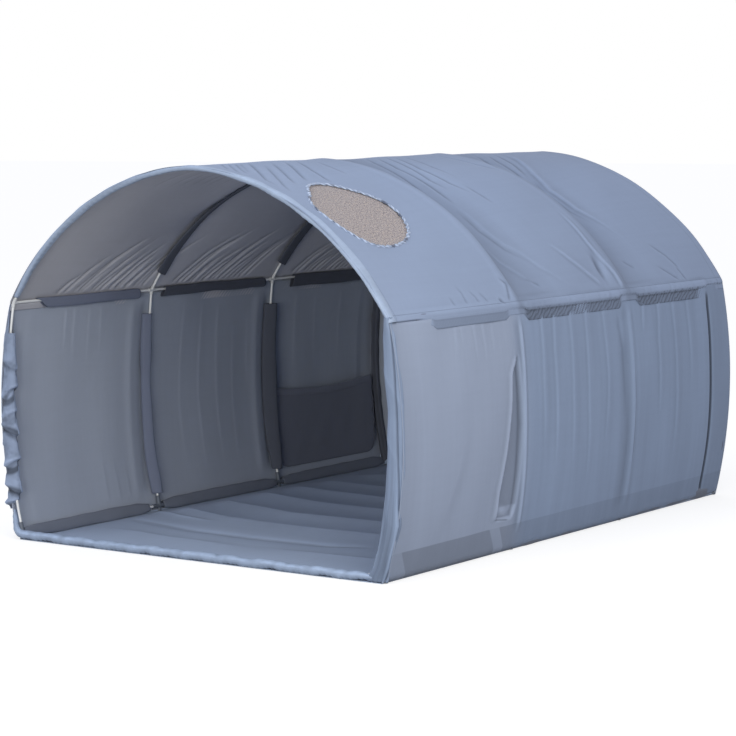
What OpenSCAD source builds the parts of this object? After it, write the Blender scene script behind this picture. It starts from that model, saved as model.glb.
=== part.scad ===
// Tarp shelter: four bowed hoops of push-fit tube under a sleeved fabric skin.
// Millimetres, +Z up, +Y towards the closed end. The origin is on the ground, midway between the feet.

/* [Frame] */
// Width between the feet of each hoop, tube centre to tube centre
floor_w = 1400; // [1200:10:1700]
// How far each eave joint stands outside the foot below it
eave_flare = 18; // [0:1:40]
// Length from the front hoop to the rear hoop
shelter_l = 2000; // [1700:10:2500]
// Height of the eave joints above the ground
eave_h = 750; // [600:10:900]
// Height of the ridge above the eave joints
arch_rise = 424; // [360:1:480]
// Slope of each half arch where it leaves the ridge, in degrees
ridge_slope = 2.6; // [1:0.2:6]
// Outward bow of the posts of the front and rear hoops
end_bow = 42; // [20:1:60]
// Outward bow of the posts of the two middle hoops
mid_bow = 28; // [15:1:50]

/* [Tubes and joints] */
// Outside diameter of the pole tube
rod_d = 8; // [7:0.1:10]
// Wall of the pole tube
rod_wall = 0.9; // [0.7:0.05:1.2]
// Height of the floor tubes' centreline above the ground
rod_lift = 20; // [17:1:28]
// Clearance round a tube in its socket, and round a spigot in its tube
fit_gap = 0.3; // [0.2:0.05:0.4]
// Wall of the round hub of an eave joint over the tube's radius
hub_wall = 1.6; // [1.2:0.1:3]
// Distance from the middle of an eave joint to the end of each tube on it
hub_reach = 15; // [12:1:24]
// Length of each spigot inside its tube
spigot_l = 20; // [14:1:30]
// Wall of the ferrule that joins two half arches at the ridge
ferrule_wall = 0.8; // [0.5:0.05:1]
// Length of the ferrule
ferrule_l = 60; // [40:2:90]
// Wall of a floor socket's barrel
socket_wall = 2.6; // [2:0.1:3.5]
// Length of a floor socket's barrel from its middle to its mouth
socket_reach = 34; // [28:1:46]
// Distance from a floor socket's middle to the closed end of each bore
socket_core = 9; // [9:0.5:12]
// Clearance between a floor socket's flat foot and the wall beside it
foot_gap = 0.5; // [0.4:0.1:3]
// Thickness of that foot
foot_t = 3; // [2:0.5:5]

/* [Fabric] */
// Thickness of the cloth
cloth_t = 1.2; // [0.8:0.1:1.6]
// Thickness of the groundsheet
sheet_t = 1.5; // [1:0.1:2.5]
// Width of the arch sleeves along the shelter
arch_sleeve_w = 40; // [30:1:60]
// Reach of the post sleeves inwards from the tube's centreline
post_sleeve_in = 22; // [12:1:30]
// Height of the eave sleeves
eave_sleeve_h = 36; // [26:1:50]
// Height of the side sleeves above the groundsheet
floor_sleeve_h = 52; // [44:1:66]
// How far the groundsheet reaches past the hoops at either end
sheet_over = 14; // [13:1:30]
// Bare tube between an eave joint and the arch sleeve of an end hoop
arch_end_bare = 22; // [19:1:60]
// Bare tube between an eave joint and the arch sleeve of a middle hoop
arch_mid_bare = 60; // [19:1:90]
// Bare tube between an eave joint and the post sleeve
post_top_bare = 104; // [60:1:150]
// Bare tube between the foot of a post and its sleeve
post_foot_bare = 80; // [60:1:120]
// Bare tube beside the end hoops on the eave and floor tubes
end_bare = 125; // [60:1:180]
// Bare tube beside the middle hoops on the eave and floor tubes
mid_bare = 62; // [45:1:120]
// Bare tube at each end of the sill tubes
sill_bare = 40; // [38:1:90]
// Sag of the roof between hoops, halfway down each slope
flank_sag = 14; // [0:1:25]
// Sag of the roof between hoops at the ridge
ridge_sag = 4; // [0:1:12]

/* [Vent] */
// Length of the vent along the shelter
vent_l = 430; // [250:5:520]
// Width of the vent down the slope
vent_w = 300; // [180:5:340]
// Distance from the front hoop to the middle of the vent
vent_y = 258; // [200:1:330]
// Place of the vent down the slope, in degrees of the arch's own circle
vent_angle = 58; // [52:0.5:62]
// Width of the binding round the vent
vent_rim_w = 14; // [8:1:24]

/* [Pocket] */
// Height of the pocket's front leaf
pocket_h = 290; // [200:5:360]
// Height of the pocket's lower edge above the side sleeve
pocket_rise = 8; // [4:1:60]
// Gap between the pocket and the sleeves of the hoops at its ends
pocket_end_gap = 24; // [10:1:80]
// Depth of the pocket at its foot, leaf to wall
pocket_foot_depth = 8; // [6:0.5:16]
// Lean of the leaf back towards the wall, in degrees
pocket_lean = 4; // [2:0.25:5]
// Thickness of the leaf
pocket_t = 2; // [1.6:0.1:3]
// Radius of the leaf's lower corners
pocket_corner_r = 60; // [20:2:90]
// Height of the elastic hem at the pocket's mouth
pocket_hem_h = 26; // [16:1:40]

/* [Hidden] */
$fn = 48;
// Sides of a full turn on the long arcs of the hoops, and round a tube
arc_sides = 360;
tube_sides = 40;

hoop_y = [for (i = [0:3]) -shelter_l / 2 + shelter_l * i / 3];
hoop_bow = [end_bow, mid_bow, mid_bow, end_bow];
foot_x = floor_w / 2;
eave_x = foot_x + eave_flare;
ridge_h = eave_h + arch_rise;
eave_pt = [eave_x, eave_h];
foot_pt = [foot_x, rod_lift];

// A half arch is one arc that leaves the ridge at ridge_slope and ends at the eave joint.
arch_chord = norm([eave_x, arch_rise]);
arch_r = arch_chord / (2 * sin(atan2(arch_rise, eave_x) - ridge_slope));
arch_c = [-arch_r * sin(ridge_slope), ridge_h - arch_r * cos(ridge_slope)];
arch_top = 90 - ridge_slope;
arch_foot = atan2(eave_h - arch_c[1], eave_x - arch_c[0]);

// A post is one arc through the foot and the eave joint, bowed outwards.
post_chord = norm(eave_pt - foot_pt);
post_dir = (eave_pt - foot_pt) / post_chord;
post_out = [post_dir[1], -post_dir[0]];
function post_r(bow) = post_chord * post_chord / (8 * bow) + bow / 2;
function post_c(bow) = (eave_pt + foot_pt) / 2 - post_out * (post_r(bow) - bow);
function post_angle(bow, p) = atan2(p[1] - post_c(bow)[1], p[0] - post_c(bow)[0]);
function turn(l, r) = l / r * 180 / PI;

bore_d = rod_d - 2 * rod_wall;
spigot_d = bore_d - 2 * fit_gap;
hub_d = rod_d + 2 * hub_wall;
// The ferrule's even bend lies this much off the kinked tubes inside it, and its bore clears that.
ferrule_dip = ferrule_l / 14 * tan(ridge_slope);
ferrule_bore = rod_d + 2 * (fit_gap + ferrule_dip);
ferrule_d = ferrule_bore + 2 * ferrule_wall;
socket_bore = rod_d + 2 * fit_gap;
socket_d = socket_bore + 2 * socket_wall;
// Gap between a tube's end and the face that it butts against
end_gap = 0.3;
// How far each half of an arch sleeve runs past the middle before it is cut off square there
ridge_lap = 3;
// A socket's core stands this much proud of its barrels, and its column this much inside them.
core_lip = 1;
core_d = socket_d + 2 * core_lip;

// Every sleeve is a flat tube: an arch sleeve passes the ferrule, the others just the pole tube.
sleeve_r = ferrule_d / 2 + fit_gap + cloth_t;
tube_sleeve_r = rod_d / 2 + fit_gap + cloth_t;
seam_gap = 0.3;
// The faceted skin dips inside its true arc by up to this much.
facet_dip = 0.5;
skin_off = sleeve_r + seam_gap + facet_dip + cloth_t / 2;
// The skin runs this far past the end hoops, clear of the sockets' cores.
skin_end = max(sleeve_r, core_d / 2 + foot_gap);
skin_front = hoop_y[0] - skin_end;
skin_rear = hoop_y[3] + skin_end;
roof_steps = 40;
bay_steps = 6;
wall_steps = 12;
// Extra bow of the wall skin over the posts that it is drawn round
skin_bow = 9;
// How far the foot of the wall stands outside the floor tubes
skin_foot = 13;
foot_d = 2 * (min(skin_foot - cloth_t / 2, skin_end + seam_gap) - foot_gap);

// A point of the roof's section: u runs from the right eave, 0, over the ridge to the left eave, 1.
function half_pt(w, off) = let (a = arch_foot + (arch_top - arch_foot) * w)
    [max(0, arch_c[0] + (arch_r + off) * cos(a)), arch_c[1] + (arch_r + off) * sin(a)];
function roof_pt(u, off) = u < 0.5 ? half_pt(2 * u, off)
    : let (p = half_pt(2 - 2 * u, off)) [-p[0], p[1]];
function roof_sag(u, v) = let (w = abs(2 * u - 1))
    pow(sin(180 * v), 2) * (flank_sag * sin(180 * w) + ridge_sag * (1 - w));

wall_top = roof_pt(0, skin_off - cloth_t / 2)[1] - seam_gap;
wall_top_x = roof_pt(0, skin_off)[0];
wall_foot = sheet_t + seam_gap;
// Half width of the wall skin at height z beside hoop i, to the middle of the cloth
function wall_rail(i, z) = let (t = (z - wall_foot) / (wall_top - wall_foot))
    foot_x + skin_foot + (wall_top_x - foot_x - skin_foot) * t
    + 4 * (hoop_bow[i] + skin_bow) * t * (1 - t);
// The same at any place y along the bay that starts at hoop i
function wall_x(i, y, z) = let (v = (y - hoop_y[i]) / (hoop_y[i + 1] - hoop_y[i]))
    wall_rail(i, z) * (1 - v) + wall_rail(i + 1, z) * v;

function bay_start(i) = i == 0 ? skin_front : hoop_y[i] + seam_gap / 2;
function bay_end(i) = i == 2 ? skin_rear : hoop_y[i + 1] - seam_gap / 2;
// An end hoop's arch sleeve lies behind its tube, and a middle hoop's lies evenly about it.
function sleeve_half(i) = i == 0 || i == 3 ? arch_sleeve_w - sleeve_r : arch_sleeve_w / 2;
// Stations along the roof of bay i: it lies on the sleeves at either end and sags between them.
function bay_stations(i) = let (y0 = hoop_y[i] + sleeve_half(i), y1 = hoop_y[i + 1] - sleeve_half(i + 1))
    [[bay_start(i), 0], for (k = [0:bay_steps]) [y0 + (y1 - y0) * k / bay_steps, k / bay_steps],
     [bay_end(i), 1]];

// Solid sheet over a grid of points: face one is grid(j, k, 0), face two is grid(j, k, 1).
module sheet_solid(nj, nk, points) {
    w = nk + 1;
    top = (nj + 1) * w;
    faces = [
        for (j = [0:nj - 1]) for (k = [0:nk - 1]) let (a = j * w + k)
            each [[a, a + 1, a + w + 1], [a, a + w + 1, a + w]],
        for (j = [0:nj - 1]) for (k = [0:nk - 1]) let (a = top + j * w + k)
            each [[a, a + w + 1, a + 1], [a, a + w, a + w + 1]],
        for (j = [0:nj - 1]) let (a = j * w, b = j * w + nk)
            each [[a, a + w, a + w + top], [a, a + w + top, a + top],
                  [b, b + w + top, b + w], [b, b + top, b + w + top]],
        for (k = [0:nk - 1]) let (a = k, b = nj * w + k)
            each [[a, a + 1 + top, a + 1], [a, a + top, a + 1 + top],
                  [b, b + 1, b + 1 + top], [b, b + 1 + top, b + top]],
    ];
    polyhedron(points = points, faces = faces, convexity = 4);
}

// Roof cloth over bay i, its inner face at radial offset low and its outer face at offset high.
module roof_sheet(i, low, high) {
    sheet_solid(roof_steps, bay_steps + 2, [
        for (off = [low, high]) for (j = [0:roof_steps]) for (st = bay_stations(i))
            let (u = j / roof_steps, p = roof_pt(u, off - roof_sag(u, st[1])))
            [p[0], st[0], p[1]]
    ]);
}

// Wall cloth of the right side over bay i; the left side mirrors it.
module wall_sheet(i) {
    y0 = bay_start(i);
    y1 = bay_end(i);
    sheet_solid(wall_steps, 2, [
        for (off = [-cloth_t / 2, cloth_t / 2]) for (j = [0:wall_steps]) for (k = [0:2])
            let (z = wall_foot + (wall_top - wall_foot) * j / wall_steps,
                 y = y0 + (y1 - y0) * k / 2)
            [wall_x(i, y, z) + off, y, z]
    ]);
}

// Bar or tube bent to an arc about c in a hoop's plane, between two angles.
module bent(c, r, from, to, d, bore = 0) {
    translate([c[0], 0, c[1]]) rotate([90, 0, 0]) rotate([0, 0, from])
        rotate_extrude(angle = to - from, $fn = arc_sides) translate([r, 0]) difference() {
            circle(d = d, $fn = tube_sides);
            if (bore > 0) circle(d = bore, $fn = tube_sides);
        }
}

// Piece of the right half arch from distance l0 to l1 above its eave joint.
module arch_piece(l0, l1, d, bore = 0)
    bent(arch_c, arch_r, arch_foot + turn(l0, arch_r), arch_foot + turn(l1, arch_r), d, bore);

// Piece of a right post from distance l0 to l1 above its foot.
module post_piece(bow, l0, l1, d, bore = 0) {
    r = post_r(bow);
    a = post_angle(bow, foot_pt);
    bent(post_c(bow), r, a + turn(l0, r), a + turn(l1, r), d, bore);
}

arch_len = (arch_top - arch_foot) * PI / 180 * arch_r;
// The ferrule is one arc through the ridge and through the tubes' centreline at both its ends.
ferrule_arm = arch_top - turn(ferrule_l / 2, arch_r);
ferrule_end = arch_c + arch_r * [cos(ferrule_arm), sin(ferrule_arm)];
ferrule_h = ridge_h - ferrule_dip - ferrule_end[1];
ferrule_r = (ferrule_end[0] * ferrule_end[0] + ferrule_h * ferrule_h) / (2 * ferrule_h);
ferrule_turn = asin(ferrule_end[0] / ferrule_r);
function post_len(bow) = (post_angle(bow, eave_pt) - post_angle(bow, foot_pt)) * PI / 180 * post_r(bow);

// side is 1 for the right, -1 for the left.
module on_side(side) mirror([side < 0 ? 1 : 0, 0, 0]) children();
module at_hoop(i) translate([0, hoop_y[i], 0]) children();
module both_sides() for (side = [1, -1]) on_side(side) children();

module half_arch(i, side) color("white") at_hoop(i) on_side(side)
    arch_piece(hub_reach + end_gap, arch_len - end_gap, rod_d, bore_d);

module post(i, side) color("white") at_hoop(i) on_side(side)
    post_piece(hoop_bow[i], socket_core + end_gap, post_len(hoop_bow[i]) - hub_reach - end_gap,
               rod_d, bore_d);

// Straight tube along Y between two stations, inset by a different reach at either end.
module straight_rod(x, z, y0, y1) translate([x, y0, z]) rotate([-90, 0, 0]) difference() {
    cylinder(d = rod_d, h = y1 - y0);
    translate([0, 0, -1]) cylinder(d = bore_d, h = y1 - y0 + 2);
}

module eave_rod(i, side) color("white") on_side(side)
    straight_rod(eave_x, eave_h, hoop_y[i] + hub_reach + end_gap, hoop_y[i + 1] - hub_reach - end_gap);

module floor_rod(i, side) color("white") on_side(side)
    straight_rod(foot_x, rod_lift, hoop_y[i] + socket_core + end_gap, hoop_y[i + 1] - socket_core - end_gap);

module sill_rod(i) color("white") at_hoop(i) rotate([0, 0, -90])
    straight_rod(0, rod_lift, -foot_x + socket_core + end_gap, foot_x - socket_core - end_gap);

// Eave joint: a slim hub with a spigot for the arch, the post and each eave tube.
module eave_joint(i, runs) at_hoop(i) {
    bow = hoop_bow[i];
    post_l = post_len(bow);
    translate([eave_x, 0, eave_h]) sphere(d = hub_d);
    arch_piece(0, hub_reach, hub_d);
    arch_piece(hub_reach - 1, hub_reach + spigot_l, spigot_d);
    post_piece(bow, post_l - hub_reach, post_l, hub_d);
    post_piece(bow, post_l - hub_reach - spigot_l, post_l - hub_reach + 1, spigot_d);
    for (run = runs) translate([eave_x, 0, eave_h]) rotate([-90 * run, 0, 0]) {
        cylinder(d = hub_d, h = hub_reach);
        cylinder(d = spigot_d, h = hub_reach + spigot_l);
    }
}

module eave_corner_joints() color("whitesmoke") both_sides() {
    eave_joint(0, [1]);
    eave_joint(3, [-1]);
}

module eave_cross_joints() color("whitesmoke") both_sides() for (i = [1, 2]) eave_joint(i, [1, -1]);

// Ferrule: a tube bent a little more than the arch, that both half arches push into.
module ridge_ferrules() color("silver") for (i = [0:3]) at_hoop(i)
    bent([0, ridge_h - ferrule_dip - ferrule_r], ferrule_r, 90 - ferrule_turn, 90 + ferrule_turn,
         ferrule_d, ferrule_bore);

// Floor socket: a flat foot and one blind barrel for each tube that ends there.
module floor_socket(i, runs, sill) at_hoop(i) difference() {
    union() {
        translate([foot_x, 0, sheet_t]) cylinder(d = foot_d, h = foot_t);
        translate([foot_x, 0, sheet_t]) cylinder(d = socket_d - 2 * core_lip, h = rod_lift - sheet_t);
        translate([foot_x, 0, rod_lift]) sphere(d = core_d);
        post_piece(hoop_bow[i], 0, socket_reach, socket_d);
        translate([foot_x, socket_reach * min(runs), rod_lift]) rotate([-90, 0, 0])
            cylinder(d = socket_d, h = socket_reach * (max(runs) - min(runs)));
        if (sill) translate([foot_x, 0, rod_lift]) rotate([0, -90, 0])
            cylinder(d = socket_d, h = socket_reach);
    }
    post_piece(hoop_bow[i], socket_core, socket_reach + 1, socket_bore);
    for (run = runs) if (run != 0) translate([foot_x, 0, rod_lift]) rotate([-90 * run, 0, 0])
        translate([0, 0, socket_core]) cylinder(d = socket_bore, h = socket_reach);
    if (sill) translate([foot_x, 0, rod_lift]) rotate([0, -90, 0])
        translate([0, 0, socket_core]) cylinder(d = socket_bore, h = socket_reach);
}

module floor_corner_sockets() color("slategray") both_sides() {
    floor_socket(0, [0, 1], true);
    floor_socket(3, [-1, 0], true);
}

module floor_tee_sockets() color("slategray") both_sides()
    for (i = [1, 2]) floor_socket(i, [1, -1], false);

// Section of a flat sleeve: a stadium ring from lo to hi with half thickness r.
module stadium(lo, hi, r) {
    translate([0, lo + r]) circle(r = r, $fn = tube_sides);
    translate([0, hi - r]) circle(r = r, $fn = tube_sides);
    translate([-r, lo + r]) square([2 * r, hi - lo - 2 * r]);
}

module flat_tube(lo, hi, r) difference() {
    stadium(lo, hi, r);
    stadium(lo + cloth_t, hi - cloth_t, r - cloth_t);
}

// Arch sleeve over both halves of hoop i; an end hoop's lies on the inner side of its tube.
module arch_sleeve(i, bare) color("lightsteelblue") at_hoop(i) both_sides() intersection() {
    lo = i == 0 ? -sleeve_r : -sleeve_half(i);
    hi = i == 3 ? sleeve_r : sleeve_half(i);
    from = arch_foot + turn(bare, arch_r);
    to = arch_top + turn(ridge_lap, arch_r);
    translate([arch_c[0], 0, arch_c[1]]) rotate([90, 0, 0]) rotate([0, 0, from])
        rotate_extrude(angle = to - from, $fn = arc_sides) translate([arch_r, 0])
            flat_tube(-hi, -lo, sleeve_r);
    translate([0, -arch_sleeve_w, 0]) cube([2 * eave_x, 2 * arch_sleeve_w, ridge_h + 2 * sleeve_r]);
}

module post_sleeve(i) at_hoop(i) {
    bow = hoop_bow[i];
    r = post_r(bow);
    from = post_angle(bow, foot_pt) + turn(post_foot_bare, r);
    to = post_angle(bow, eave_pt) - turn(post_top_bare, r);
    translate([post_c(bow)[0], 0, post_c(bow)[1]]) rotate([90, 0, 0]) rotate([0, 0, from])
        rotate_extrude(angle = to - from, $fn = arc_sides) translate([r, 0]) rotate([0, 0, -90])
            flat_tube(-post_sleeve_in, tube_sleeve_r, tube_sleeve_r);
}

module post_sleeves() color("lightsteelblue") both_sides() for (i = [0:3]) post_sleeve(i);

// Upright flat sleeve along Y, from height lo to height hi.
module run_sleeve(x, lo, hi, y0, y1) translate([x, y1, 0]) rotate([90, 0, 0])
    linear_extrude(y1 - y0) flat_tube(lo, hi, tube_sleeve_r);

function sleeve_start(i) = hoop_y[i] + (i == 0 ? end_bare : mid_bare);
function sleeve_stop(i) = hoop_y[i + 1] - (i == 2 ? end_bare : mid_bare);

module eave_sleeves() color("slategray") both_sides() for (i = [0:2])
    run_sleeve(eave_x, eave_h + tube_sleeve_r - eave_sleeve_h, eave_h + tube_sleeve_r,
               sleeve_start(i), sleeve_stop(i));

module side_sleeves() color("slategray") both_sides() for (i = [0:2])
    run_sleeve(foot_x, sheet_t + seam_gap, sheet_t + floor_sleeve_h, sleeve_start(i), sleeve_stop(i));

module sill_sleeves() color("lightsteelblue") for (i = [0, 3]) at_hoop(i) rotate([0, 0, -90])
    run_sleeve(0, sheet_t + seam_gap, rod_lift + tube_sleeve_r, -foot_x + sill_bare, foot_x - sill_bare);

module roof_cloth(i) color("lightsteelblue")
    roof_sheet(i, skin_off - cloth_t / 2, skin_off + cloth_t / 2);

// The vent's outline grown by edge, as a prism square to the slope at its middle.
module vent_prism(edge) {
    translate([arch_c[0], hoop_y[0] + vent_y, arch_c[1]]) rotate([0, 90 - vent_angle, 0])
        translate([0, 0, arch_r - 120]) linear_extrude(220)
            polygon([for (a = [0:10:350])
                [(vent_w / 2 + edge) * cos(a), (vent_l / 2 + edge) * sin(a)]]);
}

module roof_front() color("lightsteelblue") difference() {
    roof_cloth(0);
    vent_prism(0);
}

// The mesh lies under the roof cloth and reaches past the hole all round, where it is sewn.
module vent_mesh() color("gray") intersection() {
    roof_sheet(0, skin_off - cloth_t * 1.5 - seam_gap, skin_off - cloth_t / 2 - seam_gap);
    vent_prism(vent_rim_w / 2);
}

module vent_rim() color("lightblue") difference() {
    intersection() {
        roof_sheet(0, skin_off + cloth_t / 2 + seam_gap, skin_off + cloth_t * 1.5 + seam_gap);
        vent_prism(vent_rim_w);
    }
    vent_prism(0);
}

module wall(i, side) color("steelblue") on_side(side) wall_sheet(i);

rear_off = skin_off + cloth_t / 2;
module rear_wall() color("steelblue") translate([0, skin_rear + seam_gap + cloth_t, 0])
    rotate([90, 0, 0]) linear_extrude(cloth_t) polygon(concat(
        [for (j = [0:wall_steps]) let (z = wall_foot + (wall_top - wall_foot) * j / wall_steps)
            [wall_rail(3, z) + cloth_t / 2, z]],
        [for (j = [0:roof_steps]) roof_pt(j / roof_steps, rear_off)],
        [for (j = [wall_steps:-1:0]) let (z = wall_foot + (wall_top - wall_foot) * j / wall_steps)
            [-wall_rail(3, z) - cloth_t / 2, z]]));

module groundsheet() color("cadetblue") {
    w = foot_x + skin_foot + cloth_t / 2;
    l = shelter_l / 2 + sheet_over;
    translate([-w, -l, 0]) cube([2 * w, 2 * l, sheet_t]);
}

// The pocket lies on the left wall of the rear bay. Its leaf turns about its lower edge.
pocket_y0 = hoop_y[2] + sleeve_r + pocket_end_gap;
pocket_y1 = hoop_y[3] - sleeve_r - pocket_end_gap;
pocket_z = sheet_t + floor_sleeve_h + pocket_rise;
pocket_x = -(wall_x(2, pocket_y0, pocket_z) - cloth_t / 2 - pocket_foot_depth);
// Clearance under the leaf's lower edge, which its corners need as it turns
hinge_gap = 0.5;
module pocket_frame() translate([pocket_x, 0, pocket_z]) rotate([0, -pocket_lean, 0]) children();

module pocket_leaf_shape(h, t) translate([t / 2, 0, 0]) rotate([90, 0, -90]) linear_extrude(t) {
    r = pocket_corner_r;
    translate([pocket_y0 * -1, 0]) mirror([1, 0]) difference() {
        square([pocket_y1 - pocket_y0, h]);
        for (s = [0, 1]) translate([s * (pocket_y1 - pocket_y0), 0]) mirror([s, 0]) difference() {
            translate([-1, -1]) square([r + 1, r + 1]);
            translate([r, r]) circle(r = r);
        }
    }
}

module pocket_front() color("darkslategray") pocket_frame() pocket_leaf_shape(pocket_h, pocket_t);

// Elastic hem folded over the leaf's upper edge
module pocket_hem() color("dimgray") pocket_frame() difference() {
    translate([-pocket_t / 2 - cloth_t - seam_gap, pocket_y0, pocket_h - pocket_hem_h])
        cube([pocket_t + 2 * (cloth_t + seam_gap), pocket_y1 - pocket_y0, pocket_hem_h + cloth_t + seam_gap]);
    translate([-pocket_t / 2 - seam_gap, pocket_y0 - 1, pocket_h - pocket_hem_h - 1])
        cube([pocket_t + 2 * seam_gap, pocket_y1 - pocket_y0 + 2, pocket_hem_h + 1 + seam_gap]);
}

// Gusset: one strip that runs down, along under and up round the leaf, and joins it to the wall.
gusset_y = [pocket_y0 - seam_gap - cloth_t, pocket_y1 + seam_gap];
gusset_z = pocket_z - hinge_gap - cloth_t;
gusset_steps = 4;
function gusset_wall(y, z) = -wall_x(2, y, z) + cloth_t / 2 + seam_gap;

module pocket_gusset() color("darkslategray") {
    reach = (pocket_h - pocket_hem_h) * cos(pocket_lean);
    front = pocket_x + pocket_t / 2;
    for (y = gusset_y) translate([0, y + cloth_t, 0]) rotate([90, 0, 0]) linear_extrude(cloth_t)
        polygon(concat(
            [[front, gusset_z], [pocket_x - reach * tan(pocket_lean), gusset_z + reach]],
            [for (k = [gusset_steps:-1:0]) let (z = gusset_z + reach * k / gusset_steps)
                [gusset_wall(y, z), z]]));
    translate([0, 0, gusset_z]) linear_extrude(cloth_t) polygon([
        [front, gusset_y[0]], [front, gusset_y[1] + cloth_t],
        [gusset_wall(gusset_y[1], gusset_z), gusset_y[1] + cloth_t],
        [gusset_wall(gusset_y[0], gusset_z), gusset_y[0]],
    ]);
}

half_arch(0, -1);  // front_arch_left
half_arch(0, 1);  // front_arch_right
half_arch(1, -1);  // second_arch_left
half_arch(1, 1);  // second_arch_right
half_arch(2, -1);  // third_arch_left
half_arch(2, 1);  // third_arch_right
half_arch(3, -1);  // rear_arch_left
half_arch(3, 1);  // rear_arch_right
post(0, -1);  // front_post_left
post(0, 1);  // front_post_right
post(1, -1);  // second_post_left
post(1, 1);  // second_post_right
post(2, -1);  // third_post_left
post(2, 1);  // third_post_right
post(3, -1);  // rear_post_left
post(3, 1);  // rear_post_right
eave_rod(0, -1);  // eave_rod_left_front
eave_rod(1, -1);  // eave_rod_left_middle
eave_rod(2, -1);  // eave_rod_left_rear
eave_rod(0, 1);  // eave_rod_right_front
eave_rod(1, 1);  // eave_rod_right_middle
eave_rod(2, 1);  // eave_rod_right_rear
floor_rod(0, -1);  // floor_rod_left_front
floor_rod(1, -1);  // floor_rod_left_middle
floor_rod(2, -1);  // floor_rod_left_rear
floor_rod(0, 1);  // floor_rod_right_front
floor_rod(1, 1);  // floor_rod_right_middle
floor_rod(2, 1);  // floor_rod_right_rear
sill_rod(0);  // front_sill_rod
sill_rod(3);  // rear_sill_rod
eave_corner_joints();
eave_cross_joints();
ridge_ferrules();
floor_corner_sockets();
floor_tee_sockets();
arch_sleeve(0, arch_end_bare);  // front_arch_sleeve
arch_sleeve(1, arch_mid_bare);  // second_arch_sleeve
arch_sleeve(2, arch_mid_bare);  // third_arch_sleeve
arch_sleeve(3, arch_end_bare);  // rear_arch_sleeve
post_sleeves();
eave_sleeves();
side_sleeves();
sill_sleeves();
roof_front();
roof_cloth(1);  // roof_middle
roof_cloth(2);  // roof_rear
wall(0, -1);  // wall_left_front
wall(1, -1);  // wall_left_middle
wall(2, -1);  // wall_left_rear
wall(0, 1);  // wall_right_front
wall(1, 1);  // wall_right_middle
wall(2, 1);  // wall_right_rear
rear_wall();
groundsheet();
vent_mesh();
vent_rim();
pocket_front();
pocket_hem();
pocket_gusset();
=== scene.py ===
import math
import bmesh
import bpy
import numpy as np
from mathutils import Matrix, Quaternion, Vector


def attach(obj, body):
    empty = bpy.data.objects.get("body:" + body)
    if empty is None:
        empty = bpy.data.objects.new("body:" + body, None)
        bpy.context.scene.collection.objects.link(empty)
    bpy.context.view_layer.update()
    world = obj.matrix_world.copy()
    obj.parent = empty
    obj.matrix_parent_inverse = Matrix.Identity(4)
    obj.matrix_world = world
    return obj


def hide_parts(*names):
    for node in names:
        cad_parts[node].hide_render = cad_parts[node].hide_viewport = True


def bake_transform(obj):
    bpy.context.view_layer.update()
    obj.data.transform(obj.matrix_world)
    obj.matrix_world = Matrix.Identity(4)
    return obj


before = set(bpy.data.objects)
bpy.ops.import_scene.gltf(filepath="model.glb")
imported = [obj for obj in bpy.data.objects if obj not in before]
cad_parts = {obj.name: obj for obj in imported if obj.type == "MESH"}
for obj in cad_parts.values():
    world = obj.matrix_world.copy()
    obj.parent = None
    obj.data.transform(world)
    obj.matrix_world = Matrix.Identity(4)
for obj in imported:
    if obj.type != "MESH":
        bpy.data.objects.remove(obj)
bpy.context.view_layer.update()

print("frame loaded,", len(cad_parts), "nodes")
scene = bpy.context.scene
scene.view_settings.view_transform = "Standard"


# the frame's arcs, in metres
tent = {
    "floorWidth": 1.4, "flare": 0.018, "length": 2.0, "eaveHeight": 0.75, "rise": 0.424, "ridgeSlope": 2.6,
    "endBow": 0.042, "midBow": 0.028, "rodLift": 0.020, "skinOff": 0.0082, "skinEnd": 0.0084,
}
footX = tent["floorWidth"] / 2
eaveX = footX + tent["flare"]
hoopY = [-tent["length"] / 2 + tent["length"] * i / 3 for i in range(4)]
bayLong = tent["length"] / 3
hoopBow = [tent["endBow"], tent["midBow"], tent["midBow"], tent["endBow"]]
slope = math.radians(tent["ridgeSlope"])
archR = math.hypot(eaveX, tent["rise"]) / (2 * math.sin(math.atan2(tent["rise"], eaveX) - slope))
archCx = -archR * math.sin(slope)
archCz = tent["eaveHeight"] + tent["rise"] - archR * math.cos(slope)
archTop = math.pi / 2 - slope
archFoot = math.atan2(tent["eaveHeight"] - archCz, eaveX - archCx)
archHalf = archR * (archTop - archFoot)
endY = tent["length"] / 2 + tent["skinEnd"]


def archPoint(s, off):  # s is the distance over the hoop from the ridge, positive to the right
    angle = archTop - np.abs(s) / archR
    x = np.maximum(0, archCx + (archR + off) * np.cos(angle)) * np.sign(s)
    return x, archCz + (archR + off) * np.sin(angle)


def postPoint(bow, z):  # x of a post's centreline at height z
    foot, eave = np.array([footX, tent["rodLift"]]), np.array([eaveX, tent["eaveHeight"]])
    chord = np.linalg.norm(eave - foot)
    along = (eave - foot) / chord
    out = np.array([along[1], -along[0]])
    radius = chord * chord / (8 * bow) + bow / 2
    centre = (eave + foot) / 2 - out * (radius - bow)
    return centre[0] + np.sqrt(np.maximum(radius ** 2 - (np.asarray(z) - centre[1]) ** 2, 0))


wallLow, wallHigh = 0.0018, 0.7534
# at each hoop: how much further than the post the skin bows, and its half width at the foot
skinMore, skinFoot, skinEave = [0.009, 0.009, 0.009, 0.001], [0.710, 0.711, 0.711, 0.7055], 0.725


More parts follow.
